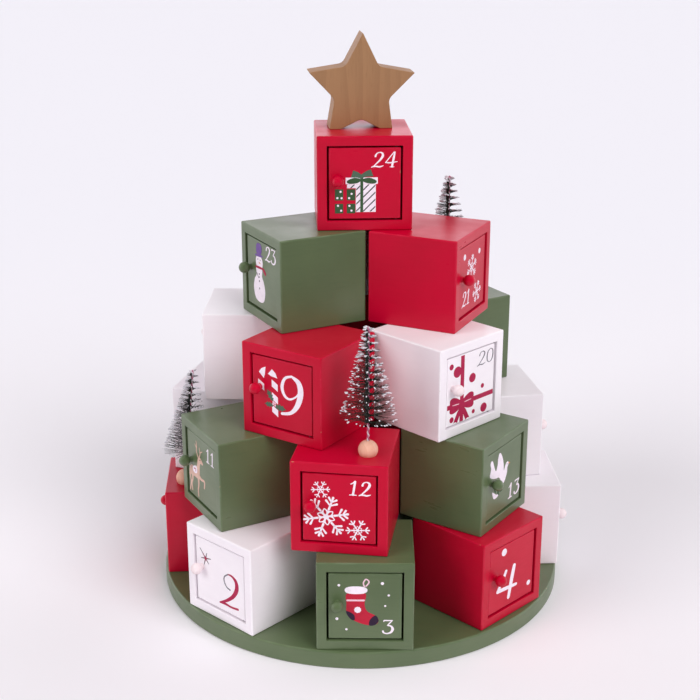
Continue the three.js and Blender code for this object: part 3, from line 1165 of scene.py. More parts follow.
@dataclass(frozen=True)
class CandyCane(Emblem):
    """A walking stick sweet as a row of leaning blocks, from its crook to its foot, sized by its height."""

    crook: float
    width: float
    blocks: int = 6
    ink: Ink = Ink.WHITE

    def shapes(self) -> list[Shape]:
        """Cuts the stick into blocks with gaps between them."""
        bend = self.y + self.size - self.crook
        arc = [radians(180 - 15 * i) for i in range(13)]
        line = [(self.x - 2 * self.crook, bend - 1.8 * self.crook)]
        line += [(self.x - self.crook * (1 - cos(a)), bend + self.crook * sin(a)) for a in arc]
        line.append((self.x, self.y))
        lengths = [0.0]
        for a, b in zip(line, line[1:]):
            lengths.append(lengths[-1] + dist(a, b))

        def at(distance: float, side: float) -> Point:
            """Finds a point of the stick.

            Args:
                distance: How far along it is.
                side: How far off to one side.

            Returns:
                The point.
            """
            distance = min(max(distance, 0.0), lengths[-1])
            i = max(k for k in range(len(line) - 1) if lengths[k] <= distance)
            start, along = Vector(line[i]), Vector(line[i + 1]) - Vector(line[i])
            way = along.normalized()
            return tuple(start + (distance - lengths[i]) * way + side * way.orthogonal())

        pitch, slant, half = lengths[-1] / self.blocks, 0.3 * self.width, self.width / 2
        made = []
        for i in range(self.blocks):
            middle, reach = (i + 0.5) * pitch, 0.27 * pitch
            corners = [at(middle + side * slant + step * reach, side * half)
                       for side, steps in ((1, (-1, 0, 1)), (-1, (1, 0, -1))) for step in steps]
            made.append(Shape(self.ink, corners))
        return made


@dataclass(frozen=True)
class Gifts:
    """A tall striped gift with a bow behind a small spotted one."""

    def shapes(self) -> list[Shape]:
        """Draws both gifts."""
        made = [
            Shape(Ink.WHITE,
                  [(-12.3, -0.4), (7.6, -0.4), (7.6, -20), (-6.2, -20), (-6.2, -3.2), (-12.3, -3.2)]),
            Shape(Ink.WHITE, rectangle(-13.2, -0.3, 8.9, 4.2)),
        ]
        papers = (((-5.9, -19.7), (-3.2, -0.7)), ((-1.0, -19.7), (7.3, -0.7)), ((-12.1, -3.1), (-5.9, -0.7)))
        for i in range(-4, 8):
            start = -19 + 5.0 * i
            band = [(-13, start - 13), (8, start + 8), (8, start + 9.1), (-13, start - 11.9)]
            for low, high in papers:
                cut = clip_to_box(band, low, high)
                if len(cut) > 2:
                    made.append(Shape(Ink.PINE, cut, layer=1))
        made.append(Shape(Ink.GREEN, rectangle(-3.1, -20.1, -1.1, 4.3), layer=2))
        loop = blob([(-2.2, 2.6), (-5.5, 0.3), (-11, 0.0), (-12.2, 2.0), (-7, 4.0)])
        made.append(Shape(Ink.GREEN, loop, layer=3))
        made.append(Shape(Ink.GREEN, [(-4.2 - x, y) for x, y in loop], layer=3))
        tail = [(-1.9, 3.2), (-5.2, 4.2), (-9.6, 4.3), (-8.0, 9.2), (-4.8, 8.0), (-1.5, 5.6)]
        made.append(Shape(Ink.MOSS, tail, layer=4))
        made.append(Shape(Ink.MOSS, [(-4.2 - 1.05 * x, y + 0.6) for x, y in tail], layer=5))
        for x0, x1 in ((-20.6, -14.9), (-12.4, -6.6)):
            for y0, y1 in ((-20.8, -14.1), (-11.7, -3.9)):
                made.append(Shape(Ink.GREEN, rectangle(x0, y0, x1, y1), layer=2))
        spots = ((-16.7, -5.6), (-18.9, -10), (-16.0, -10.1), (-18.5, -15.4), (-16.3, -18.9), (-9.1, -7.1),
                 (-10.8, -10.1), (-10.6, -15.5), (-9.2, -18.9))
        return made + Dots(Ink.WHITE, tuple((x, y, 0.75) for x, y in spots), layer=3).shapes()


@dataclass(frozen=True)
class Snowman(Emblem):
    """A snowman in a tall hat and a scarf."""

    x: float = -4.6
    y: float = 0.0
    size: float = 1.0

    def shapes(self) -> list[Shape]:
        """Draws the snowman from the ground up."""
        body = blob([(0, -20), (-7, -18.2), (-9.8, -11), (-8, -4.4), (-4.6, -0.6), (-4.8, 4.6), (4.6, 4.8),
                     (4.6, -0.4), (7.6, -4.4), (9.4, -11), (6.8, -18.2)])
        brim = soften([(-6.6, 12.6), (6.4, 13.8), (6.2, 15.4), (-6.8, 14.4)], 1)
        crown = soften([(-4.6, 14.2), (4.4, 14.8), (4.8, 23.4), (-4.4, 22.8)], 1)
        arm = ((-4, 0.6, 0.7), (-1.2, -2.2, 0.6), (0.4, -1.2, 0.5))
        scarf = soften([(-6.6, 4.2), (6.2, 4.8), (6.6, 6.6), (-6.4, 5.9)], 1)
        scarf_end = soften([(5.2, 5.6), (10.6, 1.2), (12, 3.6), (7.2, 6.8)], 1)
        spots = ((-2, 11, 0.55), (2, 11.2, 0.55), (0, 0.6, 0.7), (0, -4.6, 0.7), (0, -10, 0.7))
        return [
            Shape(Ink.WHITE, self.put(body)),
            Shape(Ink.WHITE, self.put(oval(0.3, 9.2, 5.9, 5.2)), layer=1),
            Shape(Ink.PURPLE, self.put(brim), layer=2),
            Shape(Ink.PURPLE, self.put(crown), layer=3),
            Shape(Ink.PLUM, self.stroke(arm), layer=2),
            Shape(Ink.CRIMSON, self.put(scarf), layer=3),
            Shape(Ink.CRIMSON, self.put(scarf_end), layer=4),
            Shape(Ink.ORANGE, self.put([(-0.4, 9.6), (-0.2, 8.4), (3.4, 8.6)]), layer=2),
            *(Shape(Ink.PLUM, self.put(oval(u, v, r, r)), layer=2) for u, v, r in spots),
        ]


@dataclass(frozen=True)
class RibbonBow(Emblem):
    """A ribbon that crosses the door both ways, tied in a bow where it meets."""

    x: float = -9.0
    y: float = -10.8
    size: float = 1.0
    reach: float = 24.1
    ink: Ink = Ink.CRIMSON

    def shapes(self) -> list[Shape]:
        """Draws the ribbon, the two loops and the tails, and the creases of the loops."""
        x, y, end = self.x, self.y, self.reach
        loop = blob([(0.6, 0.6), (-3.6, 4.2), (-8.8, 6.2), (-12.2, 4.8), (-12.2, 0.4), (-12.4, -4.0),
                     (-9.4, -5.4), (-4.2, -4.2), (0.6, -1.2)], 4)
        tail = [(-1.4, -1.8), (-4.6, -5.6), (-8.4, -12.6), (-6.2, -12.2), (-4.4, -13.3), (-1.2, -7)]
        crease = ((-3.0, 0.4, 0.5), (-6.0, 0.6, 0.7), (-9.6, 0.8, 0.4))
        made = [
            Shape(self.ink, rectangle(x - 1.9, -end, x + 1.9, end)),
            Shape(self.ink, rectangle(-end, y - 1.6, end, y + 1.9), layer=1),
        ]
        for rim in (loop, tail):
            made.append(Shape(self.ink, self.put(rim), layer=2))
            made.append(Shape(self.ink, self.put([(-u, v) for u, v in rim]), layer=3))
        made.append(Shape(self.ink, self.put(oval(0, -0.2, 2.3, 2.9)), layer=4))
        for side in (1, -1):
            pens = [(side * u, v, width) for u, v, width in crease]
            made.append(Shape(Ink.PINK, self.stroke(pens), layer=5))
        return made


@dataclass(frozen=True)
class Reindeer:
    """A leaping reindeer with a saddle cloth."""

    def shapes(self) -> list[Shape]:
        """Draws the reindeer."""
        body = blob([(-21.6, -5), (-18.6, -1.2), (-12, -1.4), (-8.6, 1.8), (-7.2, 6.4), (-5.4, 9.2),
                     (-2.4, 9.6), (1.8, 7.2), (1.4, 5.4), (-2.6, 5.2), (-3.8, 1.4), (-4.4, -4), (-7, -8.2),
                     (-13, -8.6), (-19.6, -9.2)])
        limbs = (
            ((-20, -5, 4.4), (-21.8, -10, 2.6), (-20.6, -15, 1.8), (-22.6, -22, 1.7)),
            ((-17.6, -6, 4.2), (-17.4, -12, 2.2), (-19.2, -16, 1.6), (-18.4, -21, 1.5)),
            ((-7.4, -5, 4), (-1.6, -6.6, 2.2), (4, -6.4, 1.7), (3.4, -11.4, 1.5)),
            ((-7, -6, 4), (-6.4, -12, 2.1), (-7.8, -17, 1.6), (-7.4, -21.6, 1.5)),
            ((-5.6, 8.8, 1.2), (-8.4, 12.6, 1.1), (-7.6, 17.4, 1), (-8.6, 20.4, 0.8)),
            ((-8, 15, 1), (-10.6, 17.4, 0.8)),
            ((-4.2, 9.4, 1.1), (-2, 13, 1), (-3.2, 17, 0.8)),
            ((-2.5, 13.6, 0.9), (1.6, 15.8, 0.7)),
        )
        cloth = blob([(-15.4, -1.4), (-9.6, 0.6), (-8.6, -4), (-12.6, -5.6), (-15.8, -4.6)])
        made = [Shape(Ink.TAN, body)]
        made += [Shape(Ink.TAN, pen_outline(limb), layer=i + 1) for i, limb in enumerate(limbs)]
        made.append(Shape(Ink.WHITE, cloth, layer=10))
        mark = ((-13.6, -2.4, 0.7), (-11.2, -1.8, 0.8), (-11.2, -3.8, 0.6))
        made.append(Shape(Ink.CRIMSON, pen_outline(mark), layer=11))
        return made + Dots(Ink.PLUM, ((-2.6, 7.9, 0.45),), 10).shapes()


@dataclass(frozen=True)
class Dove:
    """A dove with raised wings and a sprig of leaves."""

    def shapes(self) -> list[Shape]:
        """Draws the dove over its sprig."""
        near = blob([(-2, -4.6), (1.6, -2.6), (4.4, 2.4), (4.6, 6), (6.4, 8.8), (4.6, 10.6), (1.8, 9.4),
                     (-0.4, 5.4), (-1.4, 11.6), (-4.4, 18.6), (-7.6, 21.2), (-9.6, 17.8), (-10, 13.4),
                     (-12.6, 9.4), (-17.6, 18.8), (-20.6, 17.4), (-19.4, 13.4), (-20.8, 8.2), (-17.4, 5.4),
                     (-12, 3.6), (-7.4, 2.6), (-4.4, -1)], 4)
        sprig = ((-19.6, 0.6, 0.7), (-13, -3.4, 0.8), (-6.2, -8.2, 0.6))
        made = [Shape(Ink.WHITE, near), Shape(Ink.ORANGE, [(6.0, 9.6), (6.2, 8.2), (8.8, 8.5)], layer=1),
                Shape(Ink.GREEN, pen_outline(sprig), layer=1)]
        leaves = ((-16.4, -1.2, 60), (-13.4, -3.2, -65), (-11.2, -4.4, 55), (-8.6, -6.4, -70),
                  (-6.6, -7.8, -10))
        for i, (x, y, turn) in enumerate(leaves):
            made += Leaf(x, y, 5.2, turn, Ink.GREEN, False, 2 + i).shapes()
        fan = blob([(-16.4, -5.4), (-10.6, -9.2), (-6.6, -10), (-10, -11.8), (-14.4, -11)], 4)
        made.append(Shape(Ink.WHITE, fan))
        return made + Dots(Ink.PLUM, ((3.9, 8.9, 0.42),), 1).shapes()


@dataclass(frozen=True)
class Stocking(Emblem):
    """A hung stocking with a cuff, a patched heel and toe, and a tuft."""

    x: float = -6.0
    y: float = 2.0
    size: float = 1.0

    def shapes(self) -> list[Shape]:
        """Draws the stocking."""
        sock = blob([(-6, 8), (6, 8), (5.6, 0), (7.4, -5.6), (13.4, -9.2), (15.2, -13), (12.4, -16.2),
                     (5.6, -15.8), (-2.4, -12.2), (-6.4, -7), (-6.6, 0)])
        toe = blob([(13, -8.8), (15.2, -12.8), (12.6, -16.2), (8.8, -16.4), (9.4, -12)])
        heel = blob([(-6.5, -5.4), (-1.6, -8.2), (-1, -12.2), (-3.4, -12), (-6.2, -8.2)])
        cuff = soften([(-7.6, 7.4), (7.4, 7.4), (7.6, 13.2), (-7.8, 13.2)], 2)
        parts = ((Ink.RED, sock, 0), (Ink.PLUM, toe, 1), (Ink.PLUM, heel, 1), (Ink.WHITE, cuff, 2))
        made = [Shape(ink, self.put(rim), layer=layer) for ink, rim, layer in parts]
        hook = ((6.2, 13, 0.9), (8.6, 16.4, 0.9), (6.6, 18.6, 0.9), (4.8, 16, 0.9), (5.4, 13.2, 0.9))
        band = ((-6, 2.6, 1.3), (0, 2.6, 1.3), (5.2, 2.6, 1.3))
        made.append(Shape(Ink.PINK, self.stroke(hook), layer=3))
        made.append(Shape(Ink.PINK, self.stroke(band), layer=1))
        tuft = [(u if i % 2 else 0.8 * u, v if i % 2 else 0.8 * v)
                for i, (u, v) in enumerate(oval(0, 0, 2.6, 2.6, 0, 18))]
        made.append(Shape(Ink.WHITE, self.put(placed(soften(tuft, 1), 1, -4.6)), layer=2))
        return made


@dataclass(frozen=True)
class Fir(Emblem):
    """A fir tree of three tiers, hung with dots, sized by its height."""

    ink: Ink = Ink.GREEN
    trim: Ink = Ink.CRIMSON

    def shapes(self) -> list[Shape]:
        """Draws the trunk, the tiers and the dots."""
        made = [Shape(Ink.TAN, self.put(rectangle(-0.05, 0, 0.05, 0.16)))]
        for i, (low, high, wide) in enumerate(((0.12, 0.52, 0.36), (0.36, 0.76, 0.28), (0.6, 1.0, 0.2))):
            tier = soften([(-wide, low), (-wide / 3, low - 0.03), (wide / 3, low - 0.03), (wide, low),
                           (0, high)], 1)
            made.append(Shape(self.ink, self.put(tier), layer=i + 1))
        spots = ((-0.2, 0.2), (0.04, 0.26), (0.22, 0.19), (-0.1, 0.44), (0.12, 0.47), (0, 0.68),
                 (-0.05, 0.84))
        dots = tuple((x, y, 0.034 * self.size) for x, y in self.put(spots))
        return made + Dots(self.trim, dots, 5).shapes()


@dataclass(frozen=True)
class Bauble(Emblem):
    """A hanging ball with a band and a loop, sized by its radius."""

    ink: Ink
    band: Ink
    door_top: float = 22

    def shapes(self) -> list[Shape]:
        """Draws the ball, its cap, thread and band."""
        wave = [(u, 0.1 * sin(7 * u), 0.16) for u in (-0.86, -0.5, -0.17, 0.17, 0.5, 0.86)]
        cap = soften([(-0.2, 0.94), (0.2, 0.94), (0.17, 1.22), (-0.17, 1.22)], 1)
        thread = ((self.x, self.y + 1.2 * self.size, 0.4), (self.x, self.door_top, 0.4))
        spots = self.put([(-0.4, 0.5), (0.4, -0.5), (0, -0.6), (0.1, 0.6)])
        return [
            Shape(self.ink, self.put(oval(0, 0, 1, 1, 0, 40))),
            Shape(self.band, self.stroke(wave), layer=1),
            Shape(Ink.TAN, self.put(cap), layer=1),
            Shape(Ink.TAN, pen_outline(thread), layer=2),
            *Dots(self.band, tuple((x, y, 0.08 * self.size) for x, y in spots), 1).shapes(),
        ]


@dataclass(frozen=True)
class Bell(Emblem):
    """A hand bell with a rim and a clapper, sized by its height."""

    ink: Ink = Ink.WHITE

    def shapes(self) -> list[Shape]:
        """Draws the bell, and its ring with a hole."""
        side = [(0.5, 0.12), (0.36, 0.3), (0.3, 0.62), (0.2, 0.84), (0.06, 0.92)]
        rim = soften(side + [(-u, v) for u, v in reversed(side)], 2)
        lip = soften(rectangle(-0.54, 0.04, 0.54, 0.16), 2)
        eye = self.put(oval(0, 0.96, 0.045, 0.045, 0, 14))
        return [
            Shape(self.ink, self.put(rim), layer=1),
            Shape(self.ink, self.put(lip), layer=2),
            Shape(self.ink, self.put(oval(0, 0, 0.1, 0.1))),
            Shape(self.ink, self.put(oval(0, 0.96, 0.09, 0.09)), (eye,)),
        ]


@dataclass(frozen=True)
class Candle(Emblem):
    """A lit candle with a drip, sized by its height."""

    ink: Ink = Ink.WHITE

    def shapes(self) -> list[Shape]:
        """Draws the wax, the wick and the flame."""
        wax = [(-0.13, 0), (0.13, 0), (0.13, 0.62), (0.06, 0.66), (0.0, 0.6), (-0.05, 0.66), (-0.13, 0.64)]
        flame = blob([(0, 0.72), (0.09, 0.8), (0.03, 0.92), (0.0, 1.0), (-0.06, 0.9), (-0.08, 0.78)])
        wick = [(self.x, self.y + v * self.size, 0.5) for v in (0.6, 0.68, 0.76)]
        return [
            Shape(self.ink, self.put(soften(wax, 1))),
            Shape(Ink.PLUM, pen_outline(wick), layer=1),
            Shape(Ink.ORANGE, self.put(flame), layer=2),
        ]


@dataclass(frozen=True)
class Mitten(Emblem):
    """A knitted mitten with a striped cuff, sized by its height."""

    ink: Ink = Ink.RED

    def shapes(self) -> list[Shape]:
        """Draws the hand, the cuff and its stripe."""
        hand = blob([(-0.26, 0.2), (-0.28, 0.62), (-0.16, 0.92), (0.06, 1.0), (0.22, 0.84), (0.26, 0.56),
                     (0.34, 0.66), (0.46, 0.62), (0.46, 0.48), (0.28, 0.34), (0.24, 0.2)])
        cuff = soften(rectangle(-0.3, 0, 0.28, 0.22), 2)
        stripe = [(u, 0.11, 0.05) for u in (-0.24, 0, 0.22)]
        return [
            Shape(self.ink, self.put(hand)),
            Shape(Ink.TAN, self.put(cuff), layer=1),
            Shape(self.ink, self.stroke(stripe), layer=2),
        ]


DIGITS: dict[str, tuple[tuple[Pen, ...], ...]] = {
    "0": (((0.30, 0.98, 0.05), (0.12, 0.84, 0.1), (0.06, 0.5, 0.14), (0.12, 0.16, 0.1), (0.30, 0.02, 0.05)),
          ((0.30, 0.98, 0.05), (0.48, 0.84, 0.1), (0.54, 0.5, 0.14), (0.48, 0.16, 0.1), (0.30, 0.02, 0.05))),
    "1": (((0.04, 0.78, 0.05), (0.16, 0.86, 0.07), (0.27, 0.97, 0.1)),
          ((0.28, 0.96, 0.12), (0.26, 0.5, 0.12), (0.24, 0.04, 0.12)),
          ((0.04, 0.02, 0.05), (0.24, 0.035, 0.06), (0.44, 0.02, 0.05))),
    "2": (((0.07, 0.72, 0.12), (0.11, 0.88, 0.08), (0.26, 0.97, 0.06), (0.43, 0.91, 0.11), (0.48, 0.74, 0.15),
           (0.38, 0.5, 0.12), (0.2, 0.25, 0.08), (0.03, 0.04, 0.06)),
          ((-0.06, 0.0, 0.05), (0.03, 0.05, 0.07), (0.2, 0.06, 0.09), (0.4, 0.03, 0.09), (0.6, 0.1, 0.04))),
    "3": (((0.07, 0.88, 0.05), (0.09, 0.955, 0.07), (0.28, 0.955, 0.07), (0.5, 0.96, 0.06)),
          ((0.5, 0.95, 0.05), (0.38, 0.78, 0.07), (0.27, 0.6, 0.06)),
          ((0.27, 0.6, 0.06), (0.45, 0.55, 0.1), (0.54, 0.34, 0.15), (0.46, 0.11, 0.12), (0.26, 0.01, 0.08),
           (0.09, 0.07, 0.09), (0.05, 0.18, 0.11))),
    "4": (((0.42, 0.98, 0.06), (0.24, 0.66, 0.06), (0.04, 0.31, 0.06)),
          ((0.04, 0.31, 0.07), (0.3, 0.29, 0.08), (0.7, 0.36, 0.04)),
          ((0.47, 0.97, 0.09), (0.455, 0.5, 0.14), (0.44, 0.03, 0.12)),
          ((0.33, 0.02, 0.04), (0.56, 0.02, 0.04))),
    "5": (((0.16, 0.94, 0.09), (0.34, 0.95, 0.1), (0.54, 0.99, 0.06)),
          ((0.16, 0.94, 0.06), (0.13, 0.75, 0.06), (0.11, 0.56, 0.06)),
          ((0.11, 0.56, 0.06), (0.3, 0.61, 0.09), (0.49, 0.5, 0.13), (0.53, 0.28, 0.15), (0.4, 0.07, 0.1),
           (0.2, 0.01, 0.07), (0.05, 0.1, 0.1))),
    "6": (((0.5, 0.97, 0.06), (0.28, 0.86, 0.08), (0.11, 0.6, 0.12), (0.07, 0.34, 0.14), (0.14, 0.11, 0.1),
           (0.3, 0.02, 0.06)),
          ((0.3, 0.02, 0.06), (0.47, 0.11, 0.1), (0.53, 0.3, 0.13), (0.44, 0.5, 0.1), (0.3, 0.56, 0.06),
           (0.15, 0.47, 0.05), (0.08, 0.36, 0.05))),
    "7": (((0.05, 0.84, 0.06), (0.1, 0.94, 0.08), (0.3, 0.93, 0.1), (0.55, 0.96, 0.06)),
          ((0.55, 0.95, 0.06), (0.4, 0.7, 0.08), (0.28, 0.4, 0.12), (0.23, 0.05, 0.14))),
    "8": (((0.46, 0.86, 0.06), (0.31, 0.98, 0.06), (0.15, 0.88, 0.1), (0.15, 0.71, 0.13), (0.31, 0.54, 0.13),
           (0.48, 0.35, 0.13), (0.48, 0.14, 0.1), (0.3, 0.02, 0.06)),
          ((0.3, 0.02, 0.06), (0.11, 0.13, 0.08), (0.09, 0.32, 0.09), (0.25, 0.5, 0.06), (0.44, 0.68, 0.06),
           (0.46, 0.86, 0.06))),
    "9": (((0.31, 0.97, 0.05), (0.5, 0.85, 0.13), (0.55, 0.61, 0.15), (0.46, 0.31, 0.125), (0.28, 0.1, 0.08),
           (0.03, 0.03, 0.065)),
          ((0.31, 0.97, 0.05), (0.13, 0.89, 0.065), (0.045, 0.68, 0.085), (0.11, 0.48, 0.07),
           (0.25, 0.42, 0.05),
           (0.41, 0.5, 0.04), (0.49, 0.6, 0.035))),
}


@dataclass(frozen=True)
class Numeral:
    """A written number."""

    text: str
    x: float
    y: float
    height: float
    ink: Ink = Ink.WHITE
    weight: float = 1.15
    stretch: float = 1.2
    lean: float = 6.0
    advance: float = 0.66

    def shapes(self) -> list[Shape]:
        """Writes each digit's strokes beside the last one's."""
        made = []
        slope = tan(radians(self.lean))
        for place, digit in enumerate(self.text):
            for layer, pens in enumerate(DIGITS[digit]):
                moved = [
                    (self.x + self.height * (self.stretch * (u + self.advance * place) + slope * v),
                     self.y + self.height * v, self.height * w * self.weight)
                    for u, v, w in pens
                ]
                made.append(Shape(self.ink, pen_outline(moved), layer=layer))
        return made


@dataclass(frozen=True)
class DoorPrint:
    """The picture and the number on one door."""

    number: Motif
    picture: tuple[Motif, ...]


CORNER_X = {1: 12.0, 2: 6.0}
CORNER_Y = 11.2
CORNER_HEIGHT = 10.6


def corner_number(text: str, ink: Ink = Ink.WHITE) -> Numeral:
    """Gives a number of one or two figures in the upper right corner, where most doors have it."""
    return Numeral(text, CORNER_X[len(text)], CORNER_Y, CORNER_HEIGHT, ink)


PRINTS: dict[int, DoorPrint] = {
    1: DoorPrint(corner_number("1"), (Candle(-4, -19, 32), Holly(-4, -16, 9, 10))),
    2: DoorPrint(
        Strokes(Ink.CRIMSON, (
            ((8.4, 6.0, 0.9), (12.6, 5.8, 1.8), (16.6, 2.8, 3.2), (17.0, -3, 3.7), (13, -9.8, 2.9),
             (6, -15.6, 2.2),
             (-0.8, -19.4, 1.3)),
            ((-0.8, -19.3, 1.2), (5, -18.6, 1.9), (11, -18.9, 1.5), (17.8, -18.1, 1.8)),
        )),
        (Strokes(Ink.SLATE,
                 (((10.2, -5.6, 1.1), (6.6, -4.4, 1.0), (4.3, -0.6, 1.0), (4.8, 3, 1), (8.6, 6.0, 0.9)),)),
         Spark(-14.6, 10.2, 5.8, Ink.CRIMSON, Ink.SLATE, long=1.5)),
    ),
    3: DoorPrint(Numeral("3", 11.4, -20.8, 10.6, stretch=1.25, lean=2), (Stocking(), Dots(Ink.WHITE, (
        (11.5, 17.5, 1.1), (15.8, 8.5, 0.8), (-17.6, 16, 0.9), (-19, -9.5, 1.0), (13.5, 0.5, 0.7),
        (-12.6, -17.6, 0.8),
    )))),
    4: DoorPrint(
        Strokes(Ink.WHITE, (
            ((2.6, 4.6, 3.4), (0.7, -3, 3.9), (-0.9, -10.5, 3.6), (-2.6, -18.4, 3.1)),
            ((-15.2, -9.5, 3.0), (-6, -10.2, 2.9), (5.6, -11.2, 2.3)),
            ((-6.6, 3.4, 2.8), (-10, -2.5, 3.0), (-14.6, -8.6, 3.0)),
        )),
        (Dots(Ink.WHITE, ((-9.4, 19.4, 2.8), (20.2, -15.8, 2.0))),),
    ),
    5: DoorPrint(corner_number("5", Ink.GREY),
                 (Fir(-3, -20, 34), Dots(Ink.GREY, ((-17, 14, 1.0), (-19, -2, 0.8))))),
    6: DoorPrint(corner_number("6"), (Bell(-3, -16, 26), Holly(-3, 9.5, 7, 30, Ink.CRIMSON))),
    7: DoorPrint(corner_number("7"), (Snowflake(-5, -6, 15, 8), Snowflake(-15, 15, 5, 0, Flake.STAR))),
    8: DoorPrint(corner_number("8", Ink.GREY),
                 (Holly(-4, -5, 15, 15, Ink.CRIMSON), Dots(Ink.CRIMSON, ((14, -17, 1.4),)))),
    9: DoorPrint(corner_number("9"),
                 (Spark(-5, -4, 15, Ink.TAN, Ink.WHITE, 8, 0), Spark(13, -17, 5, Ink.TAN, Ink.WHITE, 8))),
    10: DoorPrint(corner_number("10", Ink.GREY), (Bauble(-5, -6, 11, Ink.CRIMSON, Ink.PINK),)),
    11: DoorPrint(Numeral("11", 8.6, 11.2, 10.4, stretch=1.1, lean=2), (Reindeer(),)),
    12: DoorPrint(
        Numeral("12", 6.6, 10.6, 10.4, stretch=1.1),
        (Snowflake(-8.8, -6.4, 16.2, 11), Snowflake(-12.4, 13.4, 6.6, 5, Flake.STAR),
         Snowflake(12.6, -15, 8.4, 4, Flake.STAR)),
    ),
    13: DoorPrint(Numeral("13", 7.2, -19.8, 11.0, weight=1.35, stretch=1.2, lean=4), (Dove(),)),
    14: DoorPrint(corner_number("14", Ink.GREY),
                  (Mitten(-6, -18, 28), Dots(Ink.CRIMSON, ((15, -12, 1.5), (-19, 15, 1.2))))),
    15: DoorPrint(corner_number("15"), (Fir(-9, -20, 27, Ink.WHITE), Fir(9, -20, 19, Ink.WHITE))),
    16: DoorPrint(corner_number("16"),
                  (Snowflake(-7, 2, 10, 5), Snowflake(9, -12, 8, 20), Snowflake(-13, -15, 5, 0, Flake.STAR))),
    17: DoorPrint(corner_number("17"), (CandyCane(2, -20, 32, 6.5, 4.6, 8), Holly(-2, -6, 9, 40))),
    18: DoorPrint(corner_number("18", Ink.GREY), (RibbonBow(0.0, -2.0),)),
    19: DoorPrint(
        Numeral("9", -1.2, -14.4, 30.4, stretch=1.0, lean=0, weight=1.0),
        (CandyCane(-6.0, -17.5, 33, 5.75, 5.0, 6),
         Leaf(-7.8, -5.8, 9.0, 122, Ink.MOSS, layer=1, width=0.9),
         Leaf(-7.4, -9.0, 7.6, 180, Ink.MOSS, layer=2, width=1.0),
         Leaf(-6.0, -9.2, 9.4, -6, Ink.MOSS, layer=3, width=0.95),
         Dots(Ink.PINK, ((-7.4, -6.6, 0.75), (-6.0, -7.2, 0.75), (-7.6, -8.1, 0.75), (-5.9, -8.8, 0.7)), 4)),
    ),
    20: DoorPrint(
        Numeral("20", 7.0, 12.2, 10.2, Ink.SLATE, 0.75, 1.25),
        (RibbonBow(),
         Dots(Ink.CRIMSON, ((-20.5, 18.4, 2.1), (-14.2, 13.4, 4.0), (1.6, 5.3, 3.4), (12.6, -3.4, 1.7),
                                         (3.6, -20.2, 1.6), (14.6, -20.2, 3.4), (-19.2, -20.4, 2.1)), 1)),
    ),
    21: DoorPrint(Numeral("21", -17.6, -18.2, 10.4, stretch=1.15), (
        Snowflake(-1, 7, 9.6, 20), Snowflake(10.4, -13.6, 8.2, 5),
        Dots(Ink.WHITE, ((-15, 17.4, 2.2), (13.6, 15.4, 2.0))),
    )),
    22: DoorPrint(corner_number("22", Ink.GREY), (Gifts(),)),
    23: DoorPrint(Numeral("23", 6.8, 13.4, 10.6, stretch=1.25, lean=2), (Snowman(),)),
    24: DoorPrint(Numeral("24", 5.2, 11.2, 10.6, weight=1.0, stretch=1.14, lean=9), (Gifts(),)),
}


# The calendar


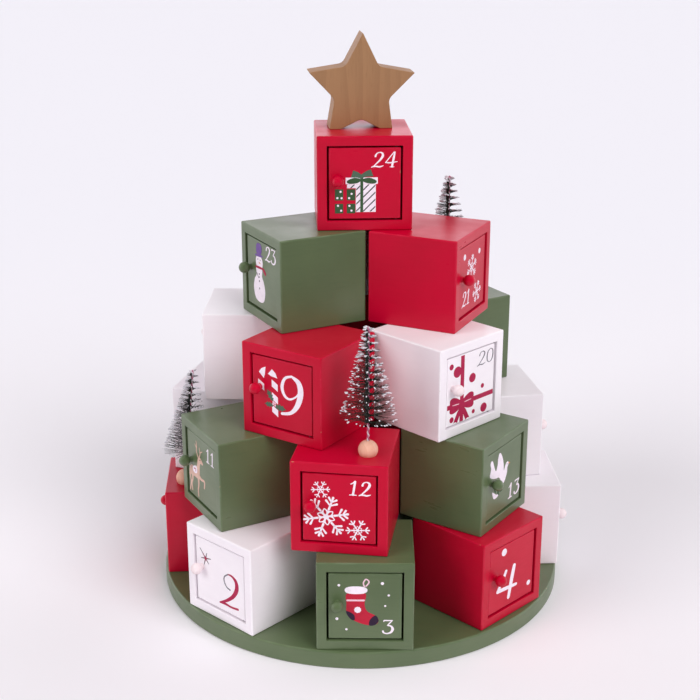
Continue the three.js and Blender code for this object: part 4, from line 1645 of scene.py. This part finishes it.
@dataclass(frozen=True)
class BoxForm:
    """The sizes that every box shares, and the way its door hangs."""

    size: float
    wall: float = 7.0
    back: float = 5.0
    outer_round: float = 1.0
    mouth_round: float = 0.5
    seam: float = 0.5
    door_gap: float = 1.2
    door_thickness: float = 5.0
    door_recess: float = 1.0
    door_round: float = 0.7
    pin_radius: float = 1.0
    pin_from_edge: float = 3.0
    pin_bite: float = 3.0
    pin_clearance: float = 0.3
    pin_in_door: float = 4.0
    pin_ease: float = 0.25

    @property
    def opening(self) -> float:
        """Width of the mouth."""
        return self.size - 2 * self.wall

    @property
    def door_size(self) -> float:
        """Width of the door."""
        return self.opening - 2 * self.door_gap

    @property
    def door_face(self) -> float:
        """Where the door's face is along Y, from the box's middle."""
        return self.door_recess - self.size / 2

    @property
    def hinge(self) -> Vector:
        """The middle of the hinge axis, from the box's middle."""
        return Vector((self.door_size / 2 - self.pin_from_edge, self.door_face + self.door_thickness / 2, 0))

    def case_mesh(self) -> Mesh:
        """Makes a case: rounded walls, a mouth, a hollow, and the seam of the panel let in behind.

        Returns:
            The mesh in metres, open to -Y.
        """
        half, inner = self.size / 2, self.opening / 2
        shape = bmesh.new()
        seam_in, seam_out, seam_floor = inner - self.seam / 2, inner + self.seam / 2, half - self.seam
        stations = (
            (seam_in, half), (seam_in, seam_floor), (seam_out, seam_floor), (seam_out, half),
            (half, half), (half, -half), (inner, -half), (inner, half - self.back),
        )
        rings = []
        for reach, depth in stations:
            corners = rectangle(-reach, -reach, reach, reach)
            rings.append([shape.verts.new(Vector((x, depth, z)) * MM) for x, z in corners])
        shape.faces.new(rings[0])
        shape.faces.new(rings[-1])
        for one, two in zip(rings, rings[1:]):
            for i in range(4):
                shape.faces.new((one[i], one[(i + 1) % 4], two[(i + 1) % 4], two[i]))
        bmesh.ops.recalc_face_normals(shape, faces=shape.faces)
        outer = {*rings[4], *rings[5]}
        mouth = set(rings[6])
        outer_edges = [edge for edge in shape.edges if set(edge.verts) <= outer]
        mouth_edges = [edge for edge in shape.edges if set(edge.verts) <= mouth]
        round_edges(shape, outer_edges, self.outer_round)
        round_edges(shape, mouth_edges, self.mouth_round)
        mesh = bpy.data.meshes.new("case")
        shape.to_mesh(mesh)
        shape.free()
        mesh = self.with_pin_holes(mesh)
        mesh.shade_smooth()
        mesh.set_sharp_from_angle(angle=SHARP_ANGLE)
        return mesh

    def with_pin_holes(self, mesh: Mesh) -> Mesh:
        """Drills the blind holes that the hinge pins turn in.

        Args:
            mesh: The case before drilling.

        Returns:
            The drilled mesh.
        """
        drill = Sketch()
        reach = self.opening / 2 + self.pin_bite + self.pin_clearance
        radius = self.pin_radius + self.pin_clearance
        drill.lathe([(radius, -reach), (radius, reach)], Matrix.Translation(self.hinge), 20)
        scene = bpy.context.scene.collection.objects
        blank = bpy.data.objects.new("block", mesh)
        bit = bpy.data.objects.new("bit", drill.to_mesh("bit"))
        for thing in (blank, bit):
            scene.link(thing)
        cut = blank.modifiers.new("holes", "BOOLEAN")
        cut.operation, cut.solver, cut.object = "DIFFERENCE", "EXACT", bit
        graph = bpy.context.evaluated_depsgraph_get()
        drilled = bpy.data.meshes.new_from_object(blank.evaluated_get(graph))
        for thing in (blank, bit):
            bpy.data.objects.remove(thing)
        return drilled

    def knob_mesh(self, radius: float = 4.1, neck: float = 1.9, standoff: float = 5.2) -> Mesh:
        """Turns a knob that stands out along -Y from the origin on the door's face.

        Args:
            radius: The ball's radius.
            neck: The neck's radius.
            standoff: The ball's middle, from the door's face.

        Returns:
            The mesh in metres.
        """
        meet, bands = asin(neck / radius), 16
        profile = [(0.0, -0.6), (neck * 1.25, -0.6), (neck * 1.25, 0.0), (neck * 1.06, 0.5)]
        for band in range(bands + 1):
            angle = meet + (pi - meet) * band / bands
            out = 0.0 if band == bands else radius * sin(angle)
            profile.append((out, standoff - radius * cos(angle)))
        knob = Sketch()
        knob.lathe(profile, Matrix.Rotation(radians(90), 4, "X"), 32)
        return knob.to_mesh("knob")

    def pin_mesh(self) -> Mesh:
        """Makes the two hinge pins, with eased ends, about the middle of the hinge axis.

        Returns:
            The mesh in metres.
        """
        pins = Sketch()
        start, end = self.door_size / 2 - self.pin_in_door, self.opening / 2 + self.pin_bite
        r, ease = self.pin_radius, self.pin_ease
        profile = [(r - ease, start), (r, start + ease), (r, end - ease), (r - ease, end)]
        for side in (1, -1):
            pins.lathe([(radius, side * height) for radius, height in profile], Matrix(), 20)
        return pins.to_mesh("pins")


@dataclass(frozen=True)
class BoxSpot:
    """Where one box stands, and its paint."""

    number: int
    paint: Paint
    place: Matrix

    @property
    def label(self) -> str:
        """The number with two figures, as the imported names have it."""
        return f"{self.number:02d}"

    @property
    def offset(self) -> Triple:
        """Moves the patterns so that no two boxes look alike."""
        return (0.37 * self.number, 0.53 * self.number, 0.29 * self.number)

    @classmethod
    def read(cls, frame: dict[str, Any], number: int, form: BoxForm) -> "BoxSpot":
        """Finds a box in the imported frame.

        Args:
            number: The box's number.
            form: The sizes of the boxes.

        Returns:
            The spot, in millimetres.
        """
        case = f"case_{number:02d}"
        low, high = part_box(case)
        middle = (low + high) / (2 * MM)
        joint = next(j for j in frame["joints"] if j["child"] == f"door_{number:02d}")
        arm = Vector(joint["pos_m"]) / MM - middle
        azimuth = atan2(arm.y, arm.x) - atan2(form.hinge.y, form.hinge.x)
        paint = Paint(frame["nodes"][case].data.materials[0].name)
        return cls(number, paint, Matrix.Translation(middle) @ Matrix.Rotation(azimuth, 4, "Z"))


@dataclass
class BoxRow:
    """All the boxes with their doors, knobs, pins and prints."""

    form: BoxForm
    knob_from_edge: float = 6.0
    knob_rise: float = 2.6
    ink_step: float = 0.02
    ink_film: float = 0.05
    meshes: dict[str, Mesh] = field(default_factory=dict)
    paints: dict[tuple[Paint, str], Material] = field(default_factory=dict)
    inks: dict[Ink, Material] = field(default_factory=dict)

    def prepare(self) -> None:
        """Makes the meshes and materials that the boxes share."""
        form = self.form
        size = form.door_size
        self.meshes = {
            "case": form.case_mesh(),
            "panel": rounded_block("panel", size, form.door_thickness, size, form.door_round),
            "knob": form.knob_mesh(),
            "pins": form.pin_mesh(),
        }
        half, door = form.size / 2, (size / 2, form.door_thickness / 2, size / 2)
        for paint, finish in PAINTS.items():
            self.paints[paint, "case"] = finish.material(Edge.BLOCK, (half, half, half))
            self.paints[paint, "panel"] = finish.material(Edge.BLOCK, door)
            bare = paint is Paint.WHITE
            self.paints[paint, "knob"] = KNOB_WOOD.material() if bare else finish.material(Edge.NONE)
        self.inks = {ink: InkFinish(f"ink_{ink.name.lower()}", ink.value).material() for ink in Ink}
        steel = PIN_STEEL.material()
        self.paints |= {(paint, "pins"): steel for paint in Paint}

    def build(self, spot: BoxSpot) -> None:
        """Builds one box.

        Args:
            spot: Where it stands, and its paint.
        """
        form, slot = self.form, spot.paint.value
        case, door = f"case_{spot.label}", f"door_{spot.label}"
        middle = (0, form.door_face + form.door_thickness / 2, 0)
        knob_foot = (self.knob_from_edge - form.door_size / 2, form.door_face, self.knob_rise)
        for part, name, body, kind, nodes, at in (
            ("case", f"{case}_walls", "root", slot, (case,), (0, 0, 0)),
            ("panel", f"{door}_panel", door, slot, (door,), middle),
            ("knob", f"{door}_knob", door, slot, (), knob_foot),
            ("pins", f"{door}_pins", door, "pin_steel", (), form.hinge),
        ):
            dressing = Dressing(name, body, kind, (self.paints[spot.paint, part],), nodes, spot.offset)
            piece = dressing.put_on(self.meshes[part], spot.place @ Matrix.Translation(at))
            if part in ("case", "panel"):
                even_normals(piece)
        design = PRINTS[spot.number]
        self.print_on(spot, "number", design.number.shapes())
        self.print_on(spot, "picture", [shape for motif in design.picture for shape in motif.shapes()])

    def print_on(self, spot: BoxSpot, kind: str, shapes: list[Shape]) -> None:
        """Prints shapes on a door.

        Args:
            spot: The door's box.
            kind: What the shapes make up, for the piece's name.
            shapes: The shapes.
        """
        sheet = Sketch()
        used = list(dict.fromkeys(shape.ink for shape in shapes))
        face = self.form.door_face
        for shape in shapes:
            front = face - self.ink_film - self.ink_step * shape.layer
            sheet.slab([shape.outline, *shape.holes], front, face + self.ink_film, used.index(shape.ink))
        name = f"door_{spot.label}_{kind}"
        materials = tuple(self.inks[ink] for ink in used)
        print_dressing = Dressing(name, f"door_{spot.label}", "print", materials, (), spot.offset)
        print_dressing.put_on(sheet.to_mesh(name), spot.place)


@dataclass
class BaseBoard:
    """The round green board."""

    edge_round: float = 1.5
    round_steps: int = 5
    sides: int = 180
    far_edge: float = 1000.0
    grain_offset: Triple = (3.1, 1.7, 0.4)

    def build(self) -> None:
        """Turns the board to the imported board's size."""
        low, high = (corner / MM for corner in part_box("base_board"))
        radius, thickness, r = (high.x - low.x) / 2, high.z - low.z, self.edge_round
        turns = [radians(90 * i / self.round_steps) for i in range(self.round_steps + 1)]
        half = thickness / 2
        upper = [(radius - r + r * cos(a), half - r + r * sin(a)) for a in turns]
        lower = [(out, -up) for out, up in reversed(upper)]
        board = Sketch()
        board.lathe([(0.0, -half), *lower, *upper, (0.0, half)], Matrix(), self.sides)
        paint = PAINTS[Paint.GREEN].material(Edge.DISC, (radius, self.far_edge, half))
        dressing = Dressing("base_board_disc", "root", Paint.GREEN.value, (paint,), ("base_board",),
                            self.grain_offset)
        even_normals(dressing.put_on(board.to_mesh("base_board_disc"), Matrix.Translation((low + high) / 2)))


@dataclass
class TopStar:
    """The wooden star that stands on the top box."""

    points: int = 5
    radius: float = 38.7
    notch_radius: float = 19.9
    thickness: float = 20.0
    foot_cut: float = 4.5
    notch_rounding: float = 3.0
    tip_rounding: float = 0.6
    edge_round: float = 0.5
    setback: float = 26.5
    shift: float = -1.3
    turn: float = 4.0
    roll: float = 1.0
    corner_steps: int = 4
    ease_steps: int = 3
    sharp_turn: float = 35.0
    grain_offset: Triple = (0.021, 0.034, 0.0)

    @property
    def heart(self) -> float:
        """Height of the star's middle above the box that it stands on."""
        return self.radius * cos(pi / self.points) - self.foot_cut

    def corners(self, inset: float) -> list[tuple[Vector, float]]:
        """Lists the star's corners, with its two lower tips cut flat.

        Args:
            inset: How far every side is drawn in.

        Returns:
            Each corner and how far it is rounded.
        """
        step = pi / self.points
        tip, notch = Vector((self.radius, 0)), Vector((self.notch_radius, 0))
        notch.rotate(Matrix.Rotation(step, 2))
        side = (notch - tip).normalized()
        shrink = 1 - inset / abs(side.x * tip.y - side.y * tip.x)
        kinds = ((self.radius, self.tip_rounding), (self.notch_radius, self.notch_rounding))
        ring = []
        for i in range(2 * self.points):
            reach, rounding = kinds[i % 2]
            angle = pi / 2 + step * i - radians(self.roll)
            ring.append((Vector((cos(angle), sin(angle))) * reach * shrink, rounding))
        floor = inset - self.heart
        made = []
        for i, (corner, rounding) in enumerate(ring):
            if corner.y > floor:
                made.append((corner, rounding))
                continue
            for other in (ring[i - 1][0], ring[(i + 1) % len(ring)][0]):
                share = (floor - corner.y) / (other.y - corner.y)
                made.append((corner.lerp(other, share), self.tip_rounding))
        return made

    def outline(self, inset: float) -> list[Point]:
        """Draws the star round its heart, with rounded notches and tips.

        Args:
            inset: How far every side is drawn in.

        Returns:
            The outline.
        """
        corners = self.corners(inset)
        made = []
        for i, (corner, rounding) in enumerate(corners):
            before = corner + (corners[i - 1][0] - corner).normalized() * rounding
            after = corner + (corners[(i + 1) % len(corners)][0] - corner).normalized() * rounding
            for step in range(self.corner_steps + 1):
                t = step / self.corner_steps
                made.append(tuple(before * (1 - t) ** 2 + corner * 2 * t * (1 - t) + after * t**2))
        return made

    def build(self, top_box: BoxSpot, box_size: float) -> None:
        """Saws the star and eases its edges.

        Args:
            top_box: The box that it stands on.
            box_size: That box's size.
        """
        rings = []
        for side in (-1, 1):
            for i in range(self.ease_steps + 1):
                turn = radians(90 * (i if side < 0 else self.ease_steps - i) / self.ease_steps)
                inset = self.edge_round * (1 - sin(turn))
                depth = side * (self.thickness / 2 - self.edge_round * (1 - cos(turn)))
                rings.append([Vector((x, depth, z + self.heart)) for x, z in self.outline(inset)])
        wood = Sketch()
        wood.skin(rings)
        stand = Matrix.Translation((self.shift, self.setback + (self.thickness - box_size) / 2, box_size / 2))
        place = top_box.place @ stand @ Matrix.Rotation(radians(self.turn), 4, "Z")
        dressing = Dressing("top_star_wood", "root", "star_wood", (STAR_WOOD.material(),), ("top_star",),
                            self.grain_offset)
        even_normals(dressing.put_on(wood.to_mesh("top_star_wood", radians(self.sharp_turn)), place))


@dataclass
class BrushTree:
    """A bottle brush tree: a wooden ball, a twisted wire, bristles and snow."""

    name: str
    seed: int
    fullness: float = 1.0
    ball_radius: float = 6.7
    ball_flat: float = 3.0
    bore: float = 1.25
    wire_strand: float = 0.5
    wire_offset: float = 0.46
    wire_pitch: float = 5.0
    wire_foot: float = 0.6
    wire_spare: float = 1.0
    brush_start: float = 19.1
    brush_radius: float = 20.0
    brush_top: float = 3.2
    brush_gap: float = 1.0
    pitch: float = 10.0
    core: float = 1.6
    shadow_side_shift: float = 0.9
    bristles: int = 1300
    bristle_radius: float = 0.12
    jitter: float = 0.25
    turn_spread: float = 0.07
    rise: float = 9.0
    rise_spread: float = 2.0
    snow_share: float = 0.34

    def build(self, materials: dict[str, Material]) -> None:
        """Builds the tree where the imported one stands.

        Args:
            materials: The finishes of its ball, wire, bristles and snow.
        """
        chance = random.Random(self.seed)
        low, high = (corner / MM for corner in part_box(f"tree_foot_{self.name}"))
        heart = Vector(((low.x + high.x) / 2, (low.y + high.y) / 2,
                        low.z + self.ball_radius - self.ball_flat))
        tip = self.packed_tip()
        upright = (tip - heart).normalized().to_track_quat("Z", "Y").to_matrix().to_4x4()
        place = Matrix.Translation(heart) @ upright
        offset = (0.11 * self.seed, 0.07 * self.seed, 0.13 * self.seed)
        height = (tip - heart).length
        ball, wire, strands, snow = Sketch(), Sketch(), Sketch(), Sketch()
        self.draw_ball(ball)
        self.draw_wire(wire, height)
        # The core is moved toward the left, the shadow side, as painted shade beside the wire.
        shadow_side_offset = upright.inverted() @ Vector((-self.shadow_side_shift, 0, 0))
        self.draw_bristles(strands, snow, height, shadow_side_offset, chance)
        foot, brush = f"tree_foot_{self.name}", f"tree_brush_{self.name}"
        pieces = (
            (f"{foot}_ball", "ball_wood", ball, ("ball",), (foot,), Matrix.Translation(heart)),
            (f"{brush}_wire", "wire", wire, ("wire_light", "wire_pink_reflection"), (), place),
            (f"{brush}_bristles", "bristle", strands, ("bristle",), (brush,), place),
            (f"{brush}_snow", "bristle", snow, ("snow",), (), place),
        )
        for name, slot, sketch, finishes, nodes, where in pieces:
            worn = tuple(materials[finish] for finish in finishes)
            Dressing(name, "root", slot, worn, nodes, offset).put_on(sketch.to_mesh(name), where)

    def packed_tip(self) -> Vector:
        """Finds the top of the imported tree's wire.

        Returns:
            The middle of its end, in millimetres.
        """
        points = [vertex.co / MM for vertex in bpy.data.objects[f"tree_brush_{self.name}"].data.vertices]
        top = max(point.z for point in points)
        near = [point for point in points if point.z > top - 0.25]
        return sum(near, Vector()) / len(near)

    def draw_ball(self, sketch: Sketch) -> None:
        """Turns the ball with its flat foot and the mouth of its bore.

        Args:
            sketch: The sketch to draw in.
        """
        r, bore, bands = self.ball_radius, self.bore, 26
        low = acos((r - self.ball_flat) / r)
        top = asin(bore / r)
        turns = [low + (pi - top - low) * i / bands for i in range(bands + 1)]
        round_part = [(r * sin(a), -r * cos(a)) for a in turns]
        mouth = round_part[-1][1]
        profile = [(0.0, self.ball_flat - r), *round_part, (bore - 0.12, mouth - 0.35), (bore - 0.15, 0.0),
                   (0.0, 0.0)]
        sketch.lathe(profile, Matrix(), 40)

    def draw_wire(self, sketch: Sketch, height: float) -> None:
        """Twists two strands round each other from inside the ball to the tip.

        Args:
            sketch: The sketch to draw in.
            height: The tip's height above the ball's heart.
        """
        steps = int(height * 2.4)
        for strand in (0, 1):
            path = []
            for i in range(steps + 1):
                z = self.wire_foot + (height - self.wire_spare) * i / steps
                turn = -2 * pi * z / self.wire_pitch + pi * strand
                path.append(Vector((self.wire_offset * cos(turn), self.wire_offset * sin(turn), z)))
            sketch.tube(path, [self.wire_strand] * len(path), 8, strand)

    def draw_bristles(self, strands: Sketch, snow: Sketch, height: float, shadow_side_offset: Vector,
                      chance: random.Random) -> None:
        """Draws the bristles in a double row that twists up the wire, and snow on their ends.

        Args:
            strands: The sketch of the bristles.
            snow: The sketch of the snow.
            height: The tip's height above the ball's heart.
            shadow_side_offset: The dense bristle core's shift beside the wire, toward the shadow side, as
                painted shade.
            chance: The source of chance.
        """
        span = height - self.brush_start - self.brush_gap
        rungs = int(span)
        spine = [shadow_side_offset + Vector((0, 0, self.brush_start - 0.5 + span * k / rungs)) for k in range(rungs + 1)]
        girth = [self.core * (1 - 0.4 * k / rungs) * chance.uniform(0.65, 1.25) for k in range(rungs + 1)]
        # The dark core tube is partly the dense bristle bases and partly painted shade on the wire's shadow
        # side.
        strands.tube(spine, [0.0, *girth[1:-1], 0.0], 8)
        for i in range(self.bristles):
            share = i / self.bristles
            side = pi * (i % 2)
            z = self.brush_start + span * share + chance.uniform(-self.jitter, self.jitter)
            reach = self.brush_radius + (self.brush_top - self.brush_radius) * share
            reach *= self.fullness * chance.uniform(0.9, 1.03)
            turn = -2 * pi * (z - self.brush_start) / self.pitch + side + chance.gauss(0, self.turn_spread)
            lift = radians(self.rise + chance.gauss(0, self.rise_spread))
            sag = chance.uniform(0.3, 0.8) * (reach / self.brush_radius) ** 2
            out = Vector((cos(turn), sin(turn), 0))
            path = []
            for k in range(4):
                along = k / 3
                path.append(out * (0.3 + reach * along * cos(lift))
                            + Vector((0, 0, z + reach * along * sin(lift) - sag * along**2)))
            base = self.bristle_radius
            strands.tube(path, [base, base, 0.85 * base, 0.45 * base], 3)
            if chance.random() < self.snow_share:
                self.draw_flake(snow, path, share, chance)

    def draw_flake(self, snow: Sketch, path: list[Vector], share: float, chance: random.Random) -> None:
        """Coats the end of a bristle with snow, further in on the short ones near the top.

        Args:
            snow: The sketch of the snow.
            path: The bristle's middle line.
            share: How far up the brush the bristle grows.
            chance: The source of chance.
        """
        along = (path[-1] - path[-2]).normalized()
        length = chance.uniform(1.3, 2.6) + (chance.uniform(0.5, 3.0) if share > 0.6 else 0.0)
        thick = chance.uniform(0.28, 0.5) * (1 - 0.15 * share)
        start = path[-1] + along * 0.25
        points, radii = [], []
        for station in (-1.0, -0.85, -0.5, 0.0, 0.5, 0.85, 1.0):
            points.append(start - along * (length * (station + 1) / 2) + Vector((0, 0, 0.12)))
            radii.append(thick * sqrt(1 - station**2) * chance.uniform(0.8, 1.2))
        radii[0] = radii[-1] = 0.0
        snow.tube(points, radii, 6)


@dataclass
class Studio:
    """The floor, the light and the camera, which aren't part of the calendar."""

    aim_x: float = -8.21
    aim_z: float = 177.35
    distance: float = 1007.7
    elevation: float = 19.4
    focal_pixels: float = 1358.4
    frame_pixels: float = 700.0
    sky_strength: float = 0.11
    lamps: tuple[tuple[str, float, float, float], ...] = (
        ("left", -60.0, 30.0, 1.4), ("right", 40.0, 40.0, 2.0), ("top", 0.0, 80.0, 0.2),
        ("back_left", -125.0, 40.0, 0.3), ("back_right", 125.0, 40.0, 0.5),
    )
    lamp_softness: float = 40.0
    lamp_distance: float = 2.0
    floor_reach: float = 15.0

    def build(self) -> None:
        """Sets the stage."""
        self.lay_floor()
        self.light_up()
        self.stand_camera()

    def lay_floor(self) -> None:
        """Lays the floor at the calendar's foot."""
        mesh = bpy.data.meshes.new("floor")
        corners = [Vector((x, y, 0)) * self.floor_reach for x, y in ((-1, -1), (1, -1), (1, 1), (-1, 1))]
        mesh.from_pydata(corners, [], [(0, 1, 2, 3)])
        mesh.materials.append(FLOOR.material())
        floor = bpy.data.objects.new("floor", mesh)
        bpy.context.scene.collection.objects.link(floor)

    def light_up(self) -> None:
        """Makes soft lamps and a faint sky, whose reflection is pale low at the back and dark in front."""
        world = bpy.data.worlds.new("sky")
        world.use_nodes = True
        sketch = NodeSketch(world.node_tree)
        sketch.tree.nodes.clear()
        around = sketch.add("ShaderNodeTexCoord").outputs["Generated"]
        seen = sketch.add("ShaderNodeSeparateXYZ", {0: around}).outputs
        behind = sketch.ramp(seen["Y"], -0.75, 0.1, 0.03, 1.0)
        glow = sketch.math("MULTIPLY", behind, sketch.ramp(seen["Z"], 0.1, 0.55, 2.0, 0.6))
        mirrored = sketch.add("ShaderNodeLightPath").outputs["Is Glossy Ray"]
        feeds = {0: mirrored, 2: self.sky_strength, 3: glow}
        power = sketch.add("ShaderNodeMix", feeds, data_type="FLOAT").outputs[0]
        tint = sketch.mix(mirrored, (1.0, 0.985, 1.0, 1.0), (0.97, 0.92, 1.0, 1.0))
        sky = sketch.add("ShaderNodeBackground", {"Color": tint, "Strength": power})
        sketch.add("ShaderNodeOutputWorld", {"Surface": sky.outputs[0]})
        bpy.context.scene.world = world
        for name, azimuth, elevation, strength in self.lamps:
            lamp = bpy.data.lights.new(name, "SUN")
            lamp.energy, lamp.angle = strength, radians(self.lamp_softness)
            holder = bpy.data.objects.new(name, lamp)
            turn = Matrix.Rotation(radians(azimuth), 3, "Z")
            tilt = Matrix.Rotation(radians(-elevation), 3, "X")
            toward = turn @ tilt @ Vector((0, -1, 0))
            holder.rotation_euler = toward.to_track_quat("Z", "Y").to_euler()
            holder.location = toward * self.lamp_distance
            holder.visible_glossy = False
            bpy.context.scene.collection.objects.link(holder)

    def stand_camera(self) -> None:
        """Stands the camera where the picture was taken from."""
        elevation = radians(self.elevation)
        data = bpy.data.cameras.new("camera")
        data.lens = data.sensor_width * self.focal_pixels / self.frame_pixels
        camera = bpy.data.objects.new("camera", data)
        back = Vector((0, -cos(elevation), sin(elevation)))
        camera.location = (Vector((self.aim_x, 0, self.aim_z)) + back * self.distance) * MM
        camera.rotation_euler = (pi / 2 - elevation, 0, 0)
        bpy.context.scene.collection.objects.link(camera)
        bpy.context.scene.camera = camera
        bpy.context.scene.view_settings.view_transform = "Standard"


def main() -> None:
    """Builds the dressed calendar and its studio."""
    logging.basicConfig(level=logging.INFO, format="%(message)s")
    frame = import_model()
    low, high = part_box("case_01")
    form = BoxForm(size=(high.z - low.z) / MM)
    spots = {number: BoxSpot.read(frame, number, form) for number in PRINTS}
    BaseBoard().build()
    row = BoxRow(form)
    row.prepare()
    for spot in spots.values():
        row.build(spot)
    TopStar().build(spots[max(spots)], form.size)
    tree_materials = {
        "ball": BALL_WOOD.material(), "bristle": BRISTLE.material(), "snow": SNOW.material(),
        "wire_light": LIGHT_WIRE.material(), "wire_pink_reflection": PINK_REFLECTION_WIRE.material(),
    }
    for seed, (name, fullness) in enumerate((("front", 1.0), ("left", 0.93), ("back", 1.0)), start=1):
        BrushTree(name, seed, fullness).build(tree_materials)
    Studio().build()


if __name__ == "__main__":
    main()
